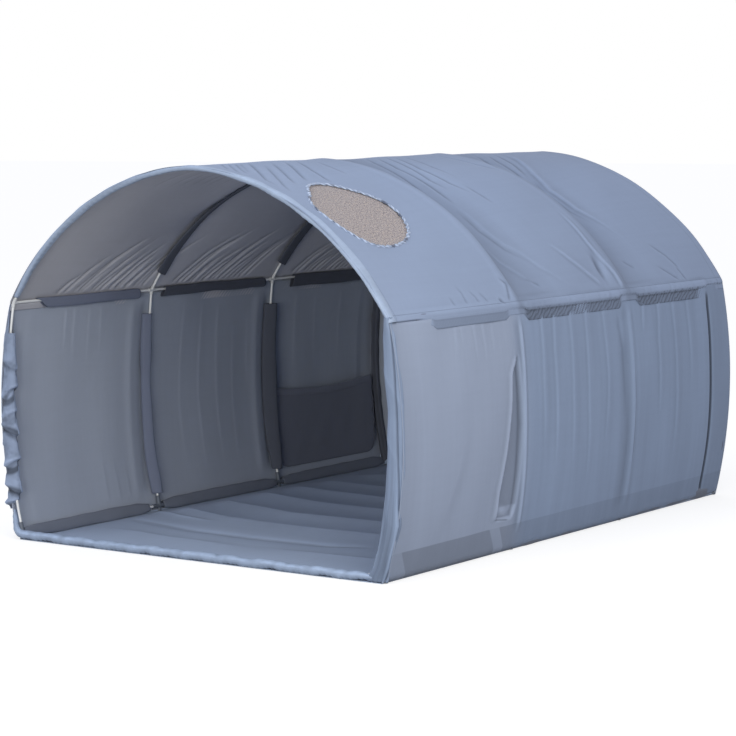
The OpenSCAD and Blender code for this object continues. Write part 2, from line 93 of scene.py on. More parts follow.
def wallX(y, z):  # half width of the wall skin
    t = (np.asarray(z) - wallLow) / (wallHigh - wallLow)
    rails = [base + (skinEave - base) * t + 4 * (bow + more) * t * (1 - t)
             for bow, more, base in zip(hoopBow, skinMore, skinFoot)]
    v = np.clip((np.asarray(y) - hoopY[0]) / bayLong, 0, 2.9999)
    bay = np.floor(v).astype(int)
    share = np.clip(v - bay, 0, 1)
    share = np.where(np.asarray(y) > hoopY[3], 1.0, share)
    pick = lambda k: np.choose(np.clip(k, 0, 3), [r + 0 * v for r in rails])
    return pick(bay) * (1 - share) + pick(bay + 1) * share


# shader maths: a wrapped socket, so that finishes read as plain expressions
class Wire:
    def __init__(self, finish, socket):
        self.finish, self.socket = finish, socket

    def maths(self, operation, *values, clamp=False):
        return self.finish.add("ShaderNodeMath", {"operation": operation, "use_clamp": clamp}, dict(enumerate(values)))

    def __add__(self, other): return self.maths("ADD", self, other)
    def __radd__(self, other): return self.maths("ADD", other, self)
    def __sub__(self, other): return self.maths("SUBTRACT", self, other)
    def __rsub__(self, other): return self.maths("SUBTRACT", other, self)
    def __mul__(self, other): return self.maths("MULTIPLY", self, other)
    def __rmul__(self, other): return self.maths("MULTIPLY", other, self)
    def __lt__(self, other): return self.maths("LESS_THAN", self, other)
    def __abs__(self): return self.maths("ABSOLUTE", self)
    def sine(self): return self.maths("SINE", self)
    def other(self, name): return Wire(self.finish, self.socket.node.outputs[name])  # another output of its node
    def most(self, other): return self.maths("MAXIMUM", self, other)
    def part(self, modulus): return self.maths("FLOORED_MODULO", self, modulus)
    def held(self): return self.maths("ADD", self, 0.0, clamp=True)

    def step(self, low, high):  # 0 below low, 1 above high, smooth between
        return self.finish.add("ShaderNodeMapRange", {"interpolation_type": "SMOOTHSTEP"},
                               {"Value": self, "From Min": low, "From Max": high})


class Finish:
    def __init__(self, name, owner=None, output="ShaderNodeOutputMaterial"):  # a material, unless an owner is given
        self.material = owner or bpy.data.materials.new(name)
        self.material.use_nodes = True
        self.tree = self.material.node_tree
        self.tree.nodes.clear()
        self.out = self.tree.nodes.new(output)

    # every node comes from here: its type, then its settings, then the values or links of its sockets
    def add(self, kind, settings=None, sockets=None, take=0):
        node = self.tree.nodes.new(kind)
        for key, value in (settings or {}).items():
            if key == "stops":
                ramp = node.color_ramp
                while len(ramp.elements) < len(value):
                    ramp.elements.new(0.5)
                for element, (place, tone) in zip(ramp.elements, value):
                    element.position, element.color = place, (*tone, 1.0)
            else:
                setattr(node, key, value)
        for key, value in (sockets or {}).items():
            target = node.inputs[key]
            if isinstance(value, Wire):
                self.tree.links.new(value.socket, target)
            elif hasattr(value, "__len__") and target.type == "RGBA":
                target.default_value = (*value[:3], 1.0)
            else:
                target.default_value = value
        return Wire(self, node.outputs[take])

    def blend(self, first, second, share, how="MIX"):  # colours
        return self.add("ShaderNodeMix", {"data_type": "RGBA", "blend_type": how},
                        {0: share, 6: first, 7: second}, take=2)

    def shift(self, wire, scale):  # vectors
        return self.add("ShaderNodeVectorMath", {"operation": "MULTIPLY"}, {0: wire, 1: scale})

    def noise(self, place, scale, detail=3.0, rough=0.5, twist=0.0):
        return self.add("ShaderNodeTexNoise", {}, {"Vector": place, "Scale": scale, "Detail": detail,
                                                  "Roughness": rough, "Distortion": twist})

    def window(self, wire, low, high, soft):  # 1 between low and high
        return wire.step(low - soft, low + soft) * (1.0 - wire.step(high - soft, high + soft))

    def follow(self, wire, points):  # a bent line: the value that points give at each place
        places, values = zip(*points)
        low, high = min(values), max(values)
        start, reach = places[0], places[-1] - places[0]
        grey = [((p - start) / reach, ((v - low) / (high - low),) * 3) for p, v in points]
        ramp = self.add("ShaderNodeValToRGB", {"stops": grey}, {"Fac": (wire - start) * (1 / reach)})
        return ramp * (high - low) + low

    def bump(self, height, depth, strength=1.0, over=None):
        sockets = {"Height": height, "Distance": depth, "Strength": strength}
        if over is not None:
            sockets["Normal"] = over
        return self.add("ShaderNodeBump", {}, sockets)

    def show(self, surface):
        self.tree.links.new(surface.socket, self.out.inputs["Surface"])
        return self.material

    def shade(self, sockets):
        return self.show(self.add("ShaderNodeBsdfPrincipled", {}, sockets))


def tone(red, green, blue):  # screen colour to the linear value that nodes take
    return tuple(((c / 255 + 0.055) / 1.055) ** 2.4 if c > 10 else c / 255 / 12.92 for c in (red, green, blue))


def threads(finish, place, pitch):  # plain weave: warp and weft pass over each other in turn
    along = finish.add("ShaderNodeSeparateXYZ", {}, {0: place})
    across = along.other("Y")
    warp = (along * (math.pi / pitch)).sine()
    weft = (across * (math.pi / pitch)).sine()
    return warp * weft, along, across


roof = {
    "step": 0.0050, "bandDrop": 0.054, "rollEnd": 0.021, "flankSag": 0.040, "ridgeSag": 0.004, "sleeveHalf": 0.016,
    "crown": 0.0022, "crownWide": 0.026, "rearRise": 0.0070, "mouthRise": 0.0085, "foldHeight": 1.8, "uneven": 0.0012,
    "tuck": 0.020, "slackAt": 0.15, "tuckAt": 0.085,  # the last two are places, as shares of a bay
    "rollHigh": 0.0052, "puckerPitch": 0.0165, "puckerHigh": 0.0011, "bandGap": 0.0014, "bandTuck": 0.0060,
    "dent": {"s": 0.770, "y": 0.262, "deep": 0.0110, "long": 0.048, "wide": 0.020},  # above the eave, just before the third hoop
    # the eave bands' painted shade, under the roll and where the cloth is doubled: from, to, darker by, and hatch of
    # painted pucker shadows
    "bands": [(-0.795, -0.388, 0.24, 0.0), (-0.292, 0.294, 0.30, 0.22), (0.400, 0.892, 0.30, 0.26)],
    "ventY": -0.7233, "ventS": 0.439, "ventLong": 0.193, "ventShort": 0.1655, "ventTurn": 113.8,
    # cosine and sine shares of the vent's outline
    "ventShape": [(0.003, -0.007), (0.002, 0.002), (-0.043, -0.003), (-0.015, -0.030), (0.022, -0.009)],
}
wall = {
    "stepY": 0.0042, "stepZ": 0.009, "low": 0.0022, "top": 0.742, "curl": 0.011,
    # the loose strip's edges: (height, y)
    "stripLeft": [(0.112, -0.462), (0.202, -0.456), (0.315, -0.432), (0.452, -0.411), (0.550, -0.403),
                  (0.588, -0.376), (0.605, -0.362)],
    "stripRight": [(0.112, -0.372), (0.142, -0.356), (0.247, -0.345), (0.392, -0.337), (0.509, -0.343),
                   (0.605, -0.353)],
    "footBand": 0.086, "footDark": 0.30, "flat": 0.755,
    # by side, 1 on the right: how strong its folds are, and at each middle post the ridge's place, width and height
    "foldHeight": {1: 0.8, -1: 0.32},
    "ridges": {1: [(0.004, 0.0075, 0.0048), (0.004, 0.012, 0.0032)],
               -1: [(-0.012, 0.026, 0.0100), (0.0, 0.026, 0.0100)]},
    "mouthRoom": 0.0050, "stripDeep": 0.0110, "stripLip": 0.0040, "flapHigh": 0.0075,
    "groove": {"y": 0.874, "wide": 0.0080, "deep": 0.006}, "swell": {1: 0.001, -1: 0.004},
}
cloth = {
    # painted shade: wallShade darkens and cools the right wall's rear bays
    "outside": (142, 157, 185), "wall": (151, 163, 187), "wallShade": (0.82, 0.885, 0.947),
    # painted light: roofInside and inside are lighter than the outside, for light coming through the cloth; painted
    # shade: pocket is darker where the cloth is doubled
    "roofInside": (188, 190, 201), "inside": (162, 171, 189), "floor": (166, 182, 209), "pocket": (116, 121, 137),
    # painted light: sill and sleeve, the front hem, are lighter where they face the front lamps; painted shade:
    # innerSleeve and deepSleeve are darker, inside the tent where the cloth is doubled
    "sill": (155, 172, 200), "sleeve": (158, 174, 200), "innerSleeve": (113, 121, 143), "deepSleeve": (84, 89, 103),
    # painted shade: sideSleeve, frontSleeve and pleatSleeve are darker copies of the same cloth
    "sideSleeve": (116, 123, 139), "rearSleeve": (138, 154, 182), "frontSleeve": (139, 153, 180),
    "pleatSleeve": (131, 147, 175),
    "weave": 0.0011, "sheen": 0.06, "rough": 0.8,
}


# painted shade on the outer roof: the eave bands and their pucker hatch, the roll's shadow with pits, a darker band
# behind each middle hoop, and darker cloth along the eave and near the ridge
def roofPaintedShade(made, place, along, across):
    reach = abs(along)
    blot = made.noise(made.shift(place, (30.0, 30.0, 1.0)), 1.0, 2.0)
    shade = None
    for first, last, dark, hatch in roof["bands"]:
        here = made.window(reach, archHalf + roof["rollEnd"], archHalf + 0.08, 0.0016)
        here = here * made.window(across, first, last, 0.010)
        lines = ((across + reach * 1.4) * (2 * math.pi / 0.025) + blot * 9.0).sine().step(-0.3, 1.0)
        layer = 1.0 - here * (dark + lines * hatch)
        shade = layer if shade is None else shade * layer
    seam = made.window(reach, archHalf + 0.014, archHalf + 0.027, 0.003)  # the roll's own shadow, broken by puckers
    pits = made.noise(made.shift(place, (90.0, 150.0, 1.0)), 1.0, 3.0, 0.7).step(0.50, 0.62)
    rough = made.follow(across, [(-1.0, 0.0), (-0.35, 0.10), (-0.30, 0.35), (0.30, 0.35), (0.45, 0.6), (0.70, 1.0),
                                 (0.90, 1.0)])
    shade = shade * (1.0 - seam * pits * rough * 0.72) * (1.0 - seam * 0.10)
    eave = made.window(reach, archHalf - 0.010, archHalf + 0.006, 0.008)
    # painted shade: a darker band just behind each middle hoop, where the slack cloth turns away from the light
    slack = made.follow(across, [(-1.0, 0.0), (-0.336, 0.0), (-0.318, 1.0), (-0.19, 0.75), (-0.06, 0.0),
                                 (0.322, 0.0), (0.345, 1.0), (0.44, 0.6), (0.58, 0.0), (1.0, 0.0)])
    shade = shade * (1.0 - slack * 0.22)
    # painted shade near the ridge, stronger over the middle and rear bays
    ridge = 1.0 - (reach * (1.0 - across.step(0.30, 0.62) * 0.4)).step(0.05, 0.22)
    return shade * (1.0 - eave * 0.03) * (1.0 - ridge * (0.03 + across.step(-0.55, -0.30) * 0.06))


# painted light and shade on the inner roof: darker towards the front end, lighter near the ridge in the front bay, and
# a band of painted shade behind the second hoop near the ridge
def insideLightAndShade(made, place, along, across):
    near = 1.0 - abs(along).step(0.10, 0.55)  # near the ridge
    behind = made.follow(across, [(-1.0, 0.0), (-0.345, 0.0), (-0.325, 1.0), (-0.12, 0.0), (1.0, 0.0)])
    front = 1.0 - across.step(-0.42, -0.34)
    shade = made.follow(across, [(-1.0, 0.80), (-0.60, 0.93), (-0.36, 1.04), (-0.25, 1.05), (1.0, 1.07)])
    return shade * (1.0 + near * front * 0.15) * (1.0 - behind * near * 0.24)


# painted shade: the groundsheet darker towards the rear of the tent
def floorPaintedShade(made, place, along, across):
    return made.follow(across, [(-1.0, 1.05), (0.10, 1.04), (0.55, 0.96), (1.0, 0.86)])


# painted shade: the wall's foot band darker where the side sleeve doubles the cloth behind it, and soft upright streaks
# of painted fold shade, mostly in the rear bays
def footPaintedShade(made, place, along, across):
    foot = made.window(across, -0.02, wall["footBand"], 0.0012)
    deep = made.follow(along, [(-1.0, wall["footDark"]), (-0.45, wall["footDark"]), (-0.30, 0.15), (0.34, 0.13),
                               (1.0, 0.10)])
    drape = made.noise(made.shift(place, (15.0, 1.3, 1.0)), 1.0, 2.0, 0.55) - 0.5
    back = made.follow(along, [(-1.0, 0.2), (-0.40, 0.25), (-0.28, 1.0), (1.0, 0.8)])
    return (1.0 - foot * deep) * (1.0 + drape * back * 0.26)


# painted shade on the right wall's outside: the foot band, which starts on a slant, the recessed strip beside the
# second post with a shadow line along its edge, a shadow line under the flap, a soft strip and a thin line at the third
# post, the crease behind the rear bay, and darker cloth at the rear end and at the front mouth
def wallPaintedShade(made, place, along, across):
    bare = made.window(along + across * 0.58, -0.440, -0.388, 0.003) * (1.0 - across.step(0.086, 0.110))
    front = (across * 0.6 + along).step(-0.912, -0.906)  # the doubled foot starts on a slant
    plain = made.window(across, -0.02, wall["footBand"], 0.0012) * (1.0 - front * (1.0 - bare))
    shade = footPaintedShade(made, place, along, across) * (1.0 + plain * 0.30)
    left, right = made.follow(across, wall["stripLeft"]), made.follow(across, wall["stripRight"])
    tall = made.window(across, 0.148, 0.600, 0.004)
    jag = made.noise(made.shift(place, (1.0, 34.0, 1.0)), 1.0, 2.0) - 0.5
    strip = (along - left + jag * 0.006).step(-0.0012, 0.0012) * (1.0 - (along - right).step(-0.009, 0.003)) * tall
    edge = made.window(along - left + jag * 0.006, -0.0015, 0.0035, 0.0015) * tall
    under = made.window(across + along * 0.10, 0.0625, 0.0675, 0.0016) * made.window(along, -0.468, -0.402, 0.010)
    last = made.window(along, 0.262, 0.318, 0.020) * made.window(across, 0.06, 0.60, 0.05)
    thin = made.window(along, 0.3415, 0.3465, 0.0016) * made.window(across, 0.20, 0.50, 0.06)
    crease = made.window(along, 0.8675, 0.8830, 0.0028) * made.window(across, 0.016, 0.715, 0.012)
    rear = along.step(0.868, 0.880)
    mouth = made.follow(along, [(-1.0, 0.10), (-0.955, 0.07), (-0.90, 0.0), (1.0, 0.0)])
    shade = shade * (1.0 - strip * 0.26) * (1.0 - edge * 0.30) * (1.0 - mouth)
    shade = shade * (1.0 - under * 0.42) * (1.0 - last * 0.15) * (1.0 - thin * 0.35)
    return shade * (1.0 - crease * 0.62) * (1.0 - rear * 0.10)


frontLeft = {  # outer and inner edges at each height
    "from": 0.092, "to": 0.752, "y": -0.998, "flat": (0.105, 0.66),
    "outer": [(0.092, -0.748), (0.112, -0.768), (0.126, -0.755), (0.196, -0.762), (0.284, -0.764), (0.298, -0.777),
              (0.403, -0.769), (0.518, -0.766), (0.614, -0.764), (0.649, -0.757), (0.676, -0.745), (0.730, -0.737),
              (0.752, -0.728)],
    "inner": [(0.092, -0.741), (0.110, -0.727), (0.136, -0.714), (0.178, -0.710), (0.200, -0.717), (0.273, -0.717),
              (0.355, -0.722), (0.409, -0.726), (0.460, -0.729), (0.483, -0.722), (0.569, -0.719), (0.644, -0.720),
              (0.752, -0.716)],
    # foot, height and slant of each fold
    "laps": [(0.118, 0.0060, 0.010), (0.163, 0.0080, -0.012), (0.245, 0.0085, 0.014), (0.352, 0.0080, -0.016),
             (0.400, 0.0040, 0.012), (0.470, 0.0070, 0.020), (0.560, 0.0035, -0.014)],
}


def crumpleLightAndShade(made, place, along, across):  # painted shade in the hollow under each fold of the sleeve, a painted highlight on the fold above it, and blotches of painted shade
    turn = (along * (2 * math.pi / 0.105) + math.pi / 2).sine()
    shade = 1.06
    for foot, size, slant in frontLeft["laps"]:
        rise = across + frontLeft["from"] - foot - turn * slant
        under = made.window(rise, -0.024, -0.003, 0.006)
        shade = shade * (1.0 - under * size * 80.0) * (1.0 + made.window(rise, 0.002, 0.024, 0.008) * size * 22.0)
    blot = made.noise(made.shift(place, (40.0, 26.0, 1.0)), 1.0, 3.0, 0.6).step(0.48, 0.66)
    return shade * (1.0 - blot * 0.16)


def hemPaintedShadow(made, place, along, across):  # a painted shadow along the seam line on the inner side, and lighter and darker blotches
    jag = made.noise(made.shift(place, (6.0, 110.0, 1.0)), 1.0, 3.0, 0.7) - 0.5
    seam = made.window(along + jag * 0.004, 0.0490, 0.0640, 0.0010)
    lump = made.noise(made.shift(place, (40.0, 70.0, 1.0)), 1.0, 3.0, 0.6) - 0.5
    return (1.0 - seam * 0.60) * (1.0 + lump * 0.20)


def sillLightAndShade(made, place, along, across):  # a painted highlight along the top edge, painted shade along the ground, and lighter and darker blotches
    jag = made.noise(made.shift(place, (6.0, 95.0, 1.0)), 1.0, 2.0, 0.6) - 0.5
    slow = made.noise(made.shift(place, (3.0, 16.0, 1.0)), 1.0, 2.0, 0.5)
    line = made.window(along + jag * 0.006, 0.0235, 0.0300, 0.0016) * slow.step(0.36, 0.60)
    lowShade = made.window(along + jag * 0.013, 0.0455, 0.0700, 0.0020)
    lump = made.noise(made.shift(place, (45.0, 30.0, 1.0)), 1.0, 3.0, 0.6) - 0.5
    return (1.0 + line * 0.20) * (1.0 - lowShade * 0.62) * (1.0 + lump * 0.34)


# painted shade in the pleats, stronger towards the foot
def pleatPaintedShade(made, place, along, across):
    low = 1.0 - across.step(0.02, 0.50)
    pleat = made.noise(made.shift(place, (120.0, 2.5, 1.0)), 1.0, 2.0, 0.6).step(0.40, 0.62)
    return 1.0 - pleat * (0.08 + low * 0.26)


def clothFinish(name, colour, paintedLightAndShade=None, stitches=(), crinkle=1.0, roughness=None, folds=1.0, rearShade=None):
    made = Finish(name)
    place = made.add("ShaderNodeUVMap", {"uv_map": "cloth"})
    weave, along, across = threads(made, place, cloth["weave"])
    solid = made.add("ShaderNodeTexCoord", {}, take=3)
    drift = made.noise(solid, 2.2, 2.0)
    stretched = made.shift(place, (60.0, 3.0, 1.0))
    streak = made.noise(stretched, 1.0, 3.0, 0.6)
    crossed = made.noise(made.shift(place, (4.0, 55.0, 1.0)), 1.0, 2.0, 0.6)
    shade = 0.94 + 0.10 * drift + (streak - 0.5) * 0.07 + (crossed - 0.5) * 0.04 + weave * 0.012
    hollow = made.add("ShaderNodeAttribute", {"attribute_name": "hollow"}, take=2) * folds  # painted highlight on fold crests, painted shade in fold hollows
    shade = shade * (1.0 - hollow * 0.16 - hollow.most(0.0) * 0.20)
    if paintedLightAndShade:  # the finish's painted light and shade: darker where the cloth is doubled, in recesses, creases and hollows, lighter on a few lit edges
        shade = shade * paintedLightAndShade(made, place, along, across)
    dents = None
    for at, axis in stitches:
        line, run = (across, along) if axis == "y" else (along, across)
        near = 1.0 - abs(line - at).step(0.0006, 0.0016)
        dash = run.part(0.0046) < 0.0032
        shade = shade * (1.0 - near * (0.10 + 0.16 * dash))
        dents = near * (1.4 - dash) if dents is None else dents + near * (1.4 - dash)
    grey = made.add("ShaderNodeCombineColor", {}, {0: shade, 1: shade, 2: shade})
    paint = made.blend(tone(*colour), grey, 1.0, "MULTIPLY")
    if rearShade:  # painted shade: the rear bays darker and cooler, away from the warm light
        paint = made.blend(paint, cloth["wallShade"], along.step(*rearShade), "MULTIPLY")
    creases = made.noise(solid, 26.0, 4.0, 0.55, 0.4)
    fine = made.noise(solid, 90.0, 2.0, 0.5)
    relief = made.bump(creases + fine * 0.25, 0.0011 * crinkle, 0.6)
    if dents is not None:
        relief = made.bump(1.0 - dents, 0.0007, 0.8, relief)
    relief = made.bump(weave, 0.00012, 0.5, relief)
    dull = (roughness or cloth["rough"]) + (drift - 0.5) * 0.12
    return made.shade({"Base Color": paint, "Roughness": dull, "Normal": relief,
                       "Sheen Weight": cloth["sheen"], "Sheen Roughness": 0.45, "Specular IOR Level": 0.25})


plastics = {
    "pole": (238, 241, 244), "scuffed": (214, 218, 224), "joint": (226, 229, 233), "socket": (104, 112, 126),
    "ferrule": (190, 193, 198), "drawn": (150, 154, 160),
}


def poleFinish():
    made = Finish("poleTube")
    solid = made.add("ShaderNodeTexCoord", {}, take=3)
    cloud = made.noise(solid, 14.0, 3.0)
    scuff = made.noise(made.shift(solid, (260.0, 30.0, 260.0)), 1.0, 2.0, 0.7)
    worn = (scuff.step(0.62, 0.8) * 0.5 + cloud * 0.15).held()
    paint = made.blend(tone(*plastics["pole"]), tone(*plastics["scuffed"]), worn)
    return made.shade({"Base Color": paint, "Roughness": 0.32 + scuff * 0.14, "Coat Weight": 0.25,
                       "Normal": made.bump(scuff, 0.0001, 0.5)})


def mouldedFinish(name, colour, rough):
    made = Finish(name)
    solid = made.add("ShaderNodeTexCoord", {}, take=3)
    grain = made.noise(solid, 900.0, 2.0)
    cloud = made.noise(solid, 40.0, 3.0)
    paint = made.blend(tone(*colour), tone(*[c * 0.8 for c in colour]), (cloud * 0.5 + grain * 0.15).held())
    return made.shade({"Base Color": paint, "Roughness": rough + cloud * 0.1, "Normal": made.bump(grain, 0.00006, 0.6)})


def ferruleFinish():
    made = Finish("drawnFerrule")
    solid = made.add("ShaderNodeTexCoord", {}, take=3)
    drawn = made.noise(made.shift(solid, (30.0, 900.0, 900.0)), 1.0, 2.0)
    paint = made.blend(tone(*plastics["ferrule"]), tone(*plastics["drawn"]), drawn)
    return made.shade({"Base Color": paint, "Metallic": 1.0, "Roughness": 0.3 + drawn * 0.15,
                       "Normal": made.bump(drawn, 0.00005, 0.5)})


def meshFinish():
    made = Finish("ventMesh")
    place = made.add("ShaderNodeUVMap", {"uv_map": "cloth"})
    weave, along, across = threads(made, place, 0.0016)
    speck = made.noise(place, 260.0, 3.0, 0.8)
    fleck = made.noise(place, 150.0, 2.0, 0.6)
    paint = made.blend(tone(118, 111, 117), tone(192, 182, 181), speck.step(0.42, 0.56))
    paint = made.blend(paint, tone(88, 83, 94), fleck.step(0.56, 0.64) * 0.6)
    paint = made.blend(paint, tone(214, 192, 170), (1.0 - fleck.step(0.36, 0.44)) * 0.5)
    return made.shade({"Base Color": paint, "Roughness": 0.9, "Sheen Weight": 0.1,
                       "Normal": made.bump(weave + speck, 0.0005, 0.8)})


def bindingFinish():
    made = Finish("whipStitch")
    place = made.add("ShaderNodeUVMap", {"uv_map": "cloth"})
    spread = made.add("ShaderNodeSeparateXYZ", {}, {0: place})
    turns = (spread * 900.0 + spread.other("Y") * 260.0).sine()
    patch = made.noise(made.shift(place, (70.0, 20.0, 1.0)), 1.0, 2.0)
    paint = made.blend(tone(120, 138, 170), tone(196, 211, 236), (turns * 0.35 + patch).held())
    paint = made.blend(paint, tone(54, 64, 90), patch.step(0.54, 0.62) * 0.85)
    return made.shade({"Base Color": paint, "Roughness": 0.7, "Sheen Weight": 0.2,
                       "Normal": made.bump(turns, 0.0006, 0.7)})


finishes = {
    "pole": poleFinish(),
    "joint": mouldedFinish("mouldedJoint", plastics["joint"], 0.42),
    "socket": mouldedFinish("mouldedSocket", plastics["socket"], 0.5),
    "ferrule": ferruleFinish(),
    "roofOut": clothFinish("roofClothOuter", cloth["outside"], roofPaintedShade,
                           stitches=((0.8585, "x"), (-0.8585, "x"), (-0.972, "y"), (0.972, "y"))),
    "roofIn": clothFinish("roofClothInner", cloth["roofInside"], insideLightAndShade, folds=-0.8),
    "wallOut": clothFinish("wallClothOuter", cloth["wall"], wallPaintedShade, rearShade=(-0.42, -0.27)),
    "wallLeft": clothFinish("leftWallOuter", cloth["wall"], footPaintedShade),
    "panel": clothFinish("postSleeveCloth", cloth["rearSleeve"]),
    "crumple": clothFinish("crumpledSleeve", cloth["frontSleeve"], crumpleLightAndShade, crinkle=1.8),
    "pleat": clothFinish("pleatedSleeve", cloth["pleatSleeve"], pleatPaintedShade, crinkle=1.2),
    "rearOut": clothFinish("rearWallOuter", cloth["wall"], stitches=((0.060, "y"),)),
    "sideSleeve": clothFinish("sideSleeveCloth", cloth["sideSleeve"], crinkle=0.8),
    "wallIn": clothFinish("wallClothInner", cloth["inside"], folds=-0.5),
    "sill": clothFinish("sillCloth", cloth["sill"], sillLightAndShade, crinkle=2.2),
    "hem": clothFinish("hemCloth", cloth["sleeve"], hemPaintedShadow, crinkle=1.8),
    "sleeveDark": clothFinish("innerSleeveCloth", cloth["innerSleeve"], crinkle=0.8),
    "sleeveDeep": clothFinish("deepSleeveCloth", cloth["deepSleeve"], crinkle=0.8),
    "floor": clothFinish("groundCloth", cloth["floor"], floorPaintedShade, roughness=0.66, crinkle=0.8),
    "mesh": meshFinish(),
    "binding": bindingFinish(),
    "pocket": clothFinish("pocketCloth", cloth["pocket"]),
}
print("finishes ready")


def smooth(low, high, value):
    t = np.clip((value - low) / (high - low), 0, 1)
    return t * t * (3 - 2 * t)


def ripple(p, q, seed, size, count=7):  # soft unevenness, the same on each run
    rng = np.random.RandomState(seed)
    total = 0
    for _ in range(count):
        turn, phase = rng.uniform(0, 2 * math.pi, 2)
        wave = size * rng.uniform(0.6, 1.8)
        total = total + np.sin((p * math.cos(turn) + q * math.sin(turn)) * 2 * math.pi / wave + phase)
    return total / math.sqrt(count)


def foldField(p, q, folds, crisp=1.3):
    # each fold is (points, width, height, lean, fade): a bent crest, steeper on one side by lean
    total = np.zeros_like(p)
    for line, width, height, lean, fade in folds:
        line = np.array(line, float)
        reach = width * 5
        near = ((p > line[:, 0].min() - reach) & (p < line[:, 0].max() + reach)
                & (q > line[:, 1].min() - reach) & (q < line[:, 1].max() + reach))
        if not near.any():
            continue
        a, b = p[near], q[near]
        best = np.full(a.shape, 1e9)
        side = np.zeros(a.shape)
        place = np.zeros(a.shape)
        steps = np.linalg.norm(np.diff(line, axis=0), axis=1)
        before = np.concatenate([[0], np.cumsum(steps)])
        for k in range(len(line) - 1):
            d = line[k + 1] - line[k]
            t = np.clip(((a - line[k, 0]) * d[0] + (b - line[k, 1]) * d[1]) / max(steps[k] ** 2, 1e-12), 0, 1)
            dx, dy = a - line[k, 0] - t * d[0], b - line[k, 1] - t * d[1]
            far = np.hypot(dx, dy)
            closer = far < best
            best = np.where(closer, far, best)
            side = np.where(closer, np.sign(d[0] * dy - d[1] * dx), side)
            place = np.where(closer, (before[k] + t * steps[k]) / before[-1], place)
        spread = width * np.where(side > 0, 1 + lean, 1 / (1 + lean)) if lean >= 0 else \
            width * np.where(side < 0, 1 - lean, 1 / (1 - lean))
        ends = smooth(0, max(fade[0], 1e-3), place) * smooth(0, max(fade[1], 1e-3), 1 - place)
        total[near] += height * np.exp(-(best / spread) ** crisp) * ends
    return total


def normalsOf(grid, wrap=False):
    du = np.gradient(grid, axis=0)
    if wrap:
        du = (np.roll(grid, -1, axis=0) - np.roll(grid, 1, axis=0)) / 2
    n = np.cross(du, np.gradient(grid, axis=1))
    return n / np.maximum(np.linalg.norm(n, axis=2, keepdims=True), 1e-12)


def softened(values, axis, k, wrap):  # running mean over 2k + 1 places
    pad = [(0, 0)] * values.ndim
    pad[axis] = (k + 1, k)
    wide = np.pad(values, pad, mode="wrap") if wrap else np.pad(values, pad, mode="reflect", reflect_type="odd")
    total = np.cumsum(wide, axis=axis)
    size = 2 * k + 1
    pick = lambda a, b: np.take(total, np.arange(a, b), axis=axis)
    return (pick(size, size + values.shape[axis]) - pick(0, values.shape[axis])) / size


def hollows(grid, relief=None, wrap=False, reach=0.013, full=0.0022):  # 1 in a fold's hollow, -1 on its crest
    values = grid if relief is None else relief[..., None]
    for axis in (0, 1):
        step = np.linalg.norm(np.diff(grid, axis=axis), axis=-1).mean()
        k = int(np.clip(round(reach / max(step, 1e-5)), 1, grid.shape[axis] // 2 - 2))
        values = softened(values, axis, k, wrap and axis == 0)
    deep = ((values - grid) * normalsOf(grid)).sum(-1) if relief is None else values[..., 0] - relief
    return np.clip(deep / full, -1, 1)


def meshFrom(name, grid, coords, wrap=False, keep=None, relief=None):
    nj, nk = grid.shape[:2]
    index = np.arange(nj * nk).reshape(nj, nk)
    if wrap:
        index = np.vstack([index, index[:1]])
    quads = np.stack([index[:-1, :-1], index[1:, :-1], index[1:, 1:], index[:-1, 1:]], axis=-1)
    uvs = coords
    if wrap:  # the seam's own column, one step past the last
        around = coords[-1, 0, 0] * 2 - coords[-2, 0, 0] - coords[0, 0, 0]
        uvs = np.concatenate([coords, coords[:1] + np.array([around, 0])], axis=0)
    mask = np.ones(quads.shape[:2], bool) if keep is None else keep
    faces = quads[mask].reshape(-1, 4)
    corner = np.stack([uvs[:-1, :-1], uvs[1:, :-1], uvs[1:, 1:], uvs[:-1, 1:]], axis=2)[mask].reshape(-1, 2)
    mesh = bpy.data.meshes.new(name)
    mesh.from_pydata(grid.reshape(-1, 3).tolist(), [], faces.tolist())
    mesh.uv_layers.new(name="cloth").data.foreach_set("uv", corner.astype(np.float32).ravel())
    mesh.polygons.foreach_set("use_smooth", np.ones(len(mesh.polygons), bool))
    layer = mesh.attributes.new("hollow", "FLOAT", "POINT")
    layer.data.foreach_set("value", hollows(grid, relief, wrap).astype(np.float32).ravel())
    mesh.update()
    return mesh


def cleared(mesh):  # drops the points that no face uses
    used = np.zeros(len(mesh.vertices), bool)
    for polygon in mesh.polygons:
        used[list(polygon.vertices)] = True
    if used.all():
        return
    work = bmesh.new()
    work.from_mesh(mesh)
    work.verts.ensure_lookup_table()
    bmesh.ops.delete(work, geom=[v for v in work.verts if not v.link_faces], context="VERTS")
    work.to_mesh(mesh)
    work.free()


def clothPiece(name, grid, coords, outer, inner=None, thick=0.0009, wrap=False, keep=None, body="root",
               offset=-1.0, relief=None):  # with body None the piece is not tied to a body
    mesh = meshFrom(name, grid, coords, wrap, keep, relief)
    if keep is not None:
        cleared(mesh)
    piece = bpy.data.objects.new(name, mesh)
    scene.collection.objects.link(piece)
    mesh.materials.append(finishes[outer])
    mesh.materials.append(finishes[inner or outer])
    if thick:
        shell = piece.modifiers.new("clothThickness", "SOLIDIFY")
        shell.thickness, shell.offset = thick, offset
        shell.material_offset, shell.material_offset_rim = 1, 0
        shell.use_even_offset = False
    if body:
        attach(piece, body)
    return piece


def lattice(lowP, highP, stepP, lowQ, highQ, stepQ):
    p = np.linspace(lowP, highP, max(2, int(round((highP - lowP) / stepP)) + 1))
    q = np.linspace(lowQ, highQ, max(2, int(round((highQ - lowQ) / stepQ)) + 1))
    return np.meshgrid(p, q, indexing="ij")


# roof: one sheet from the right eave band over the ridge to the left one

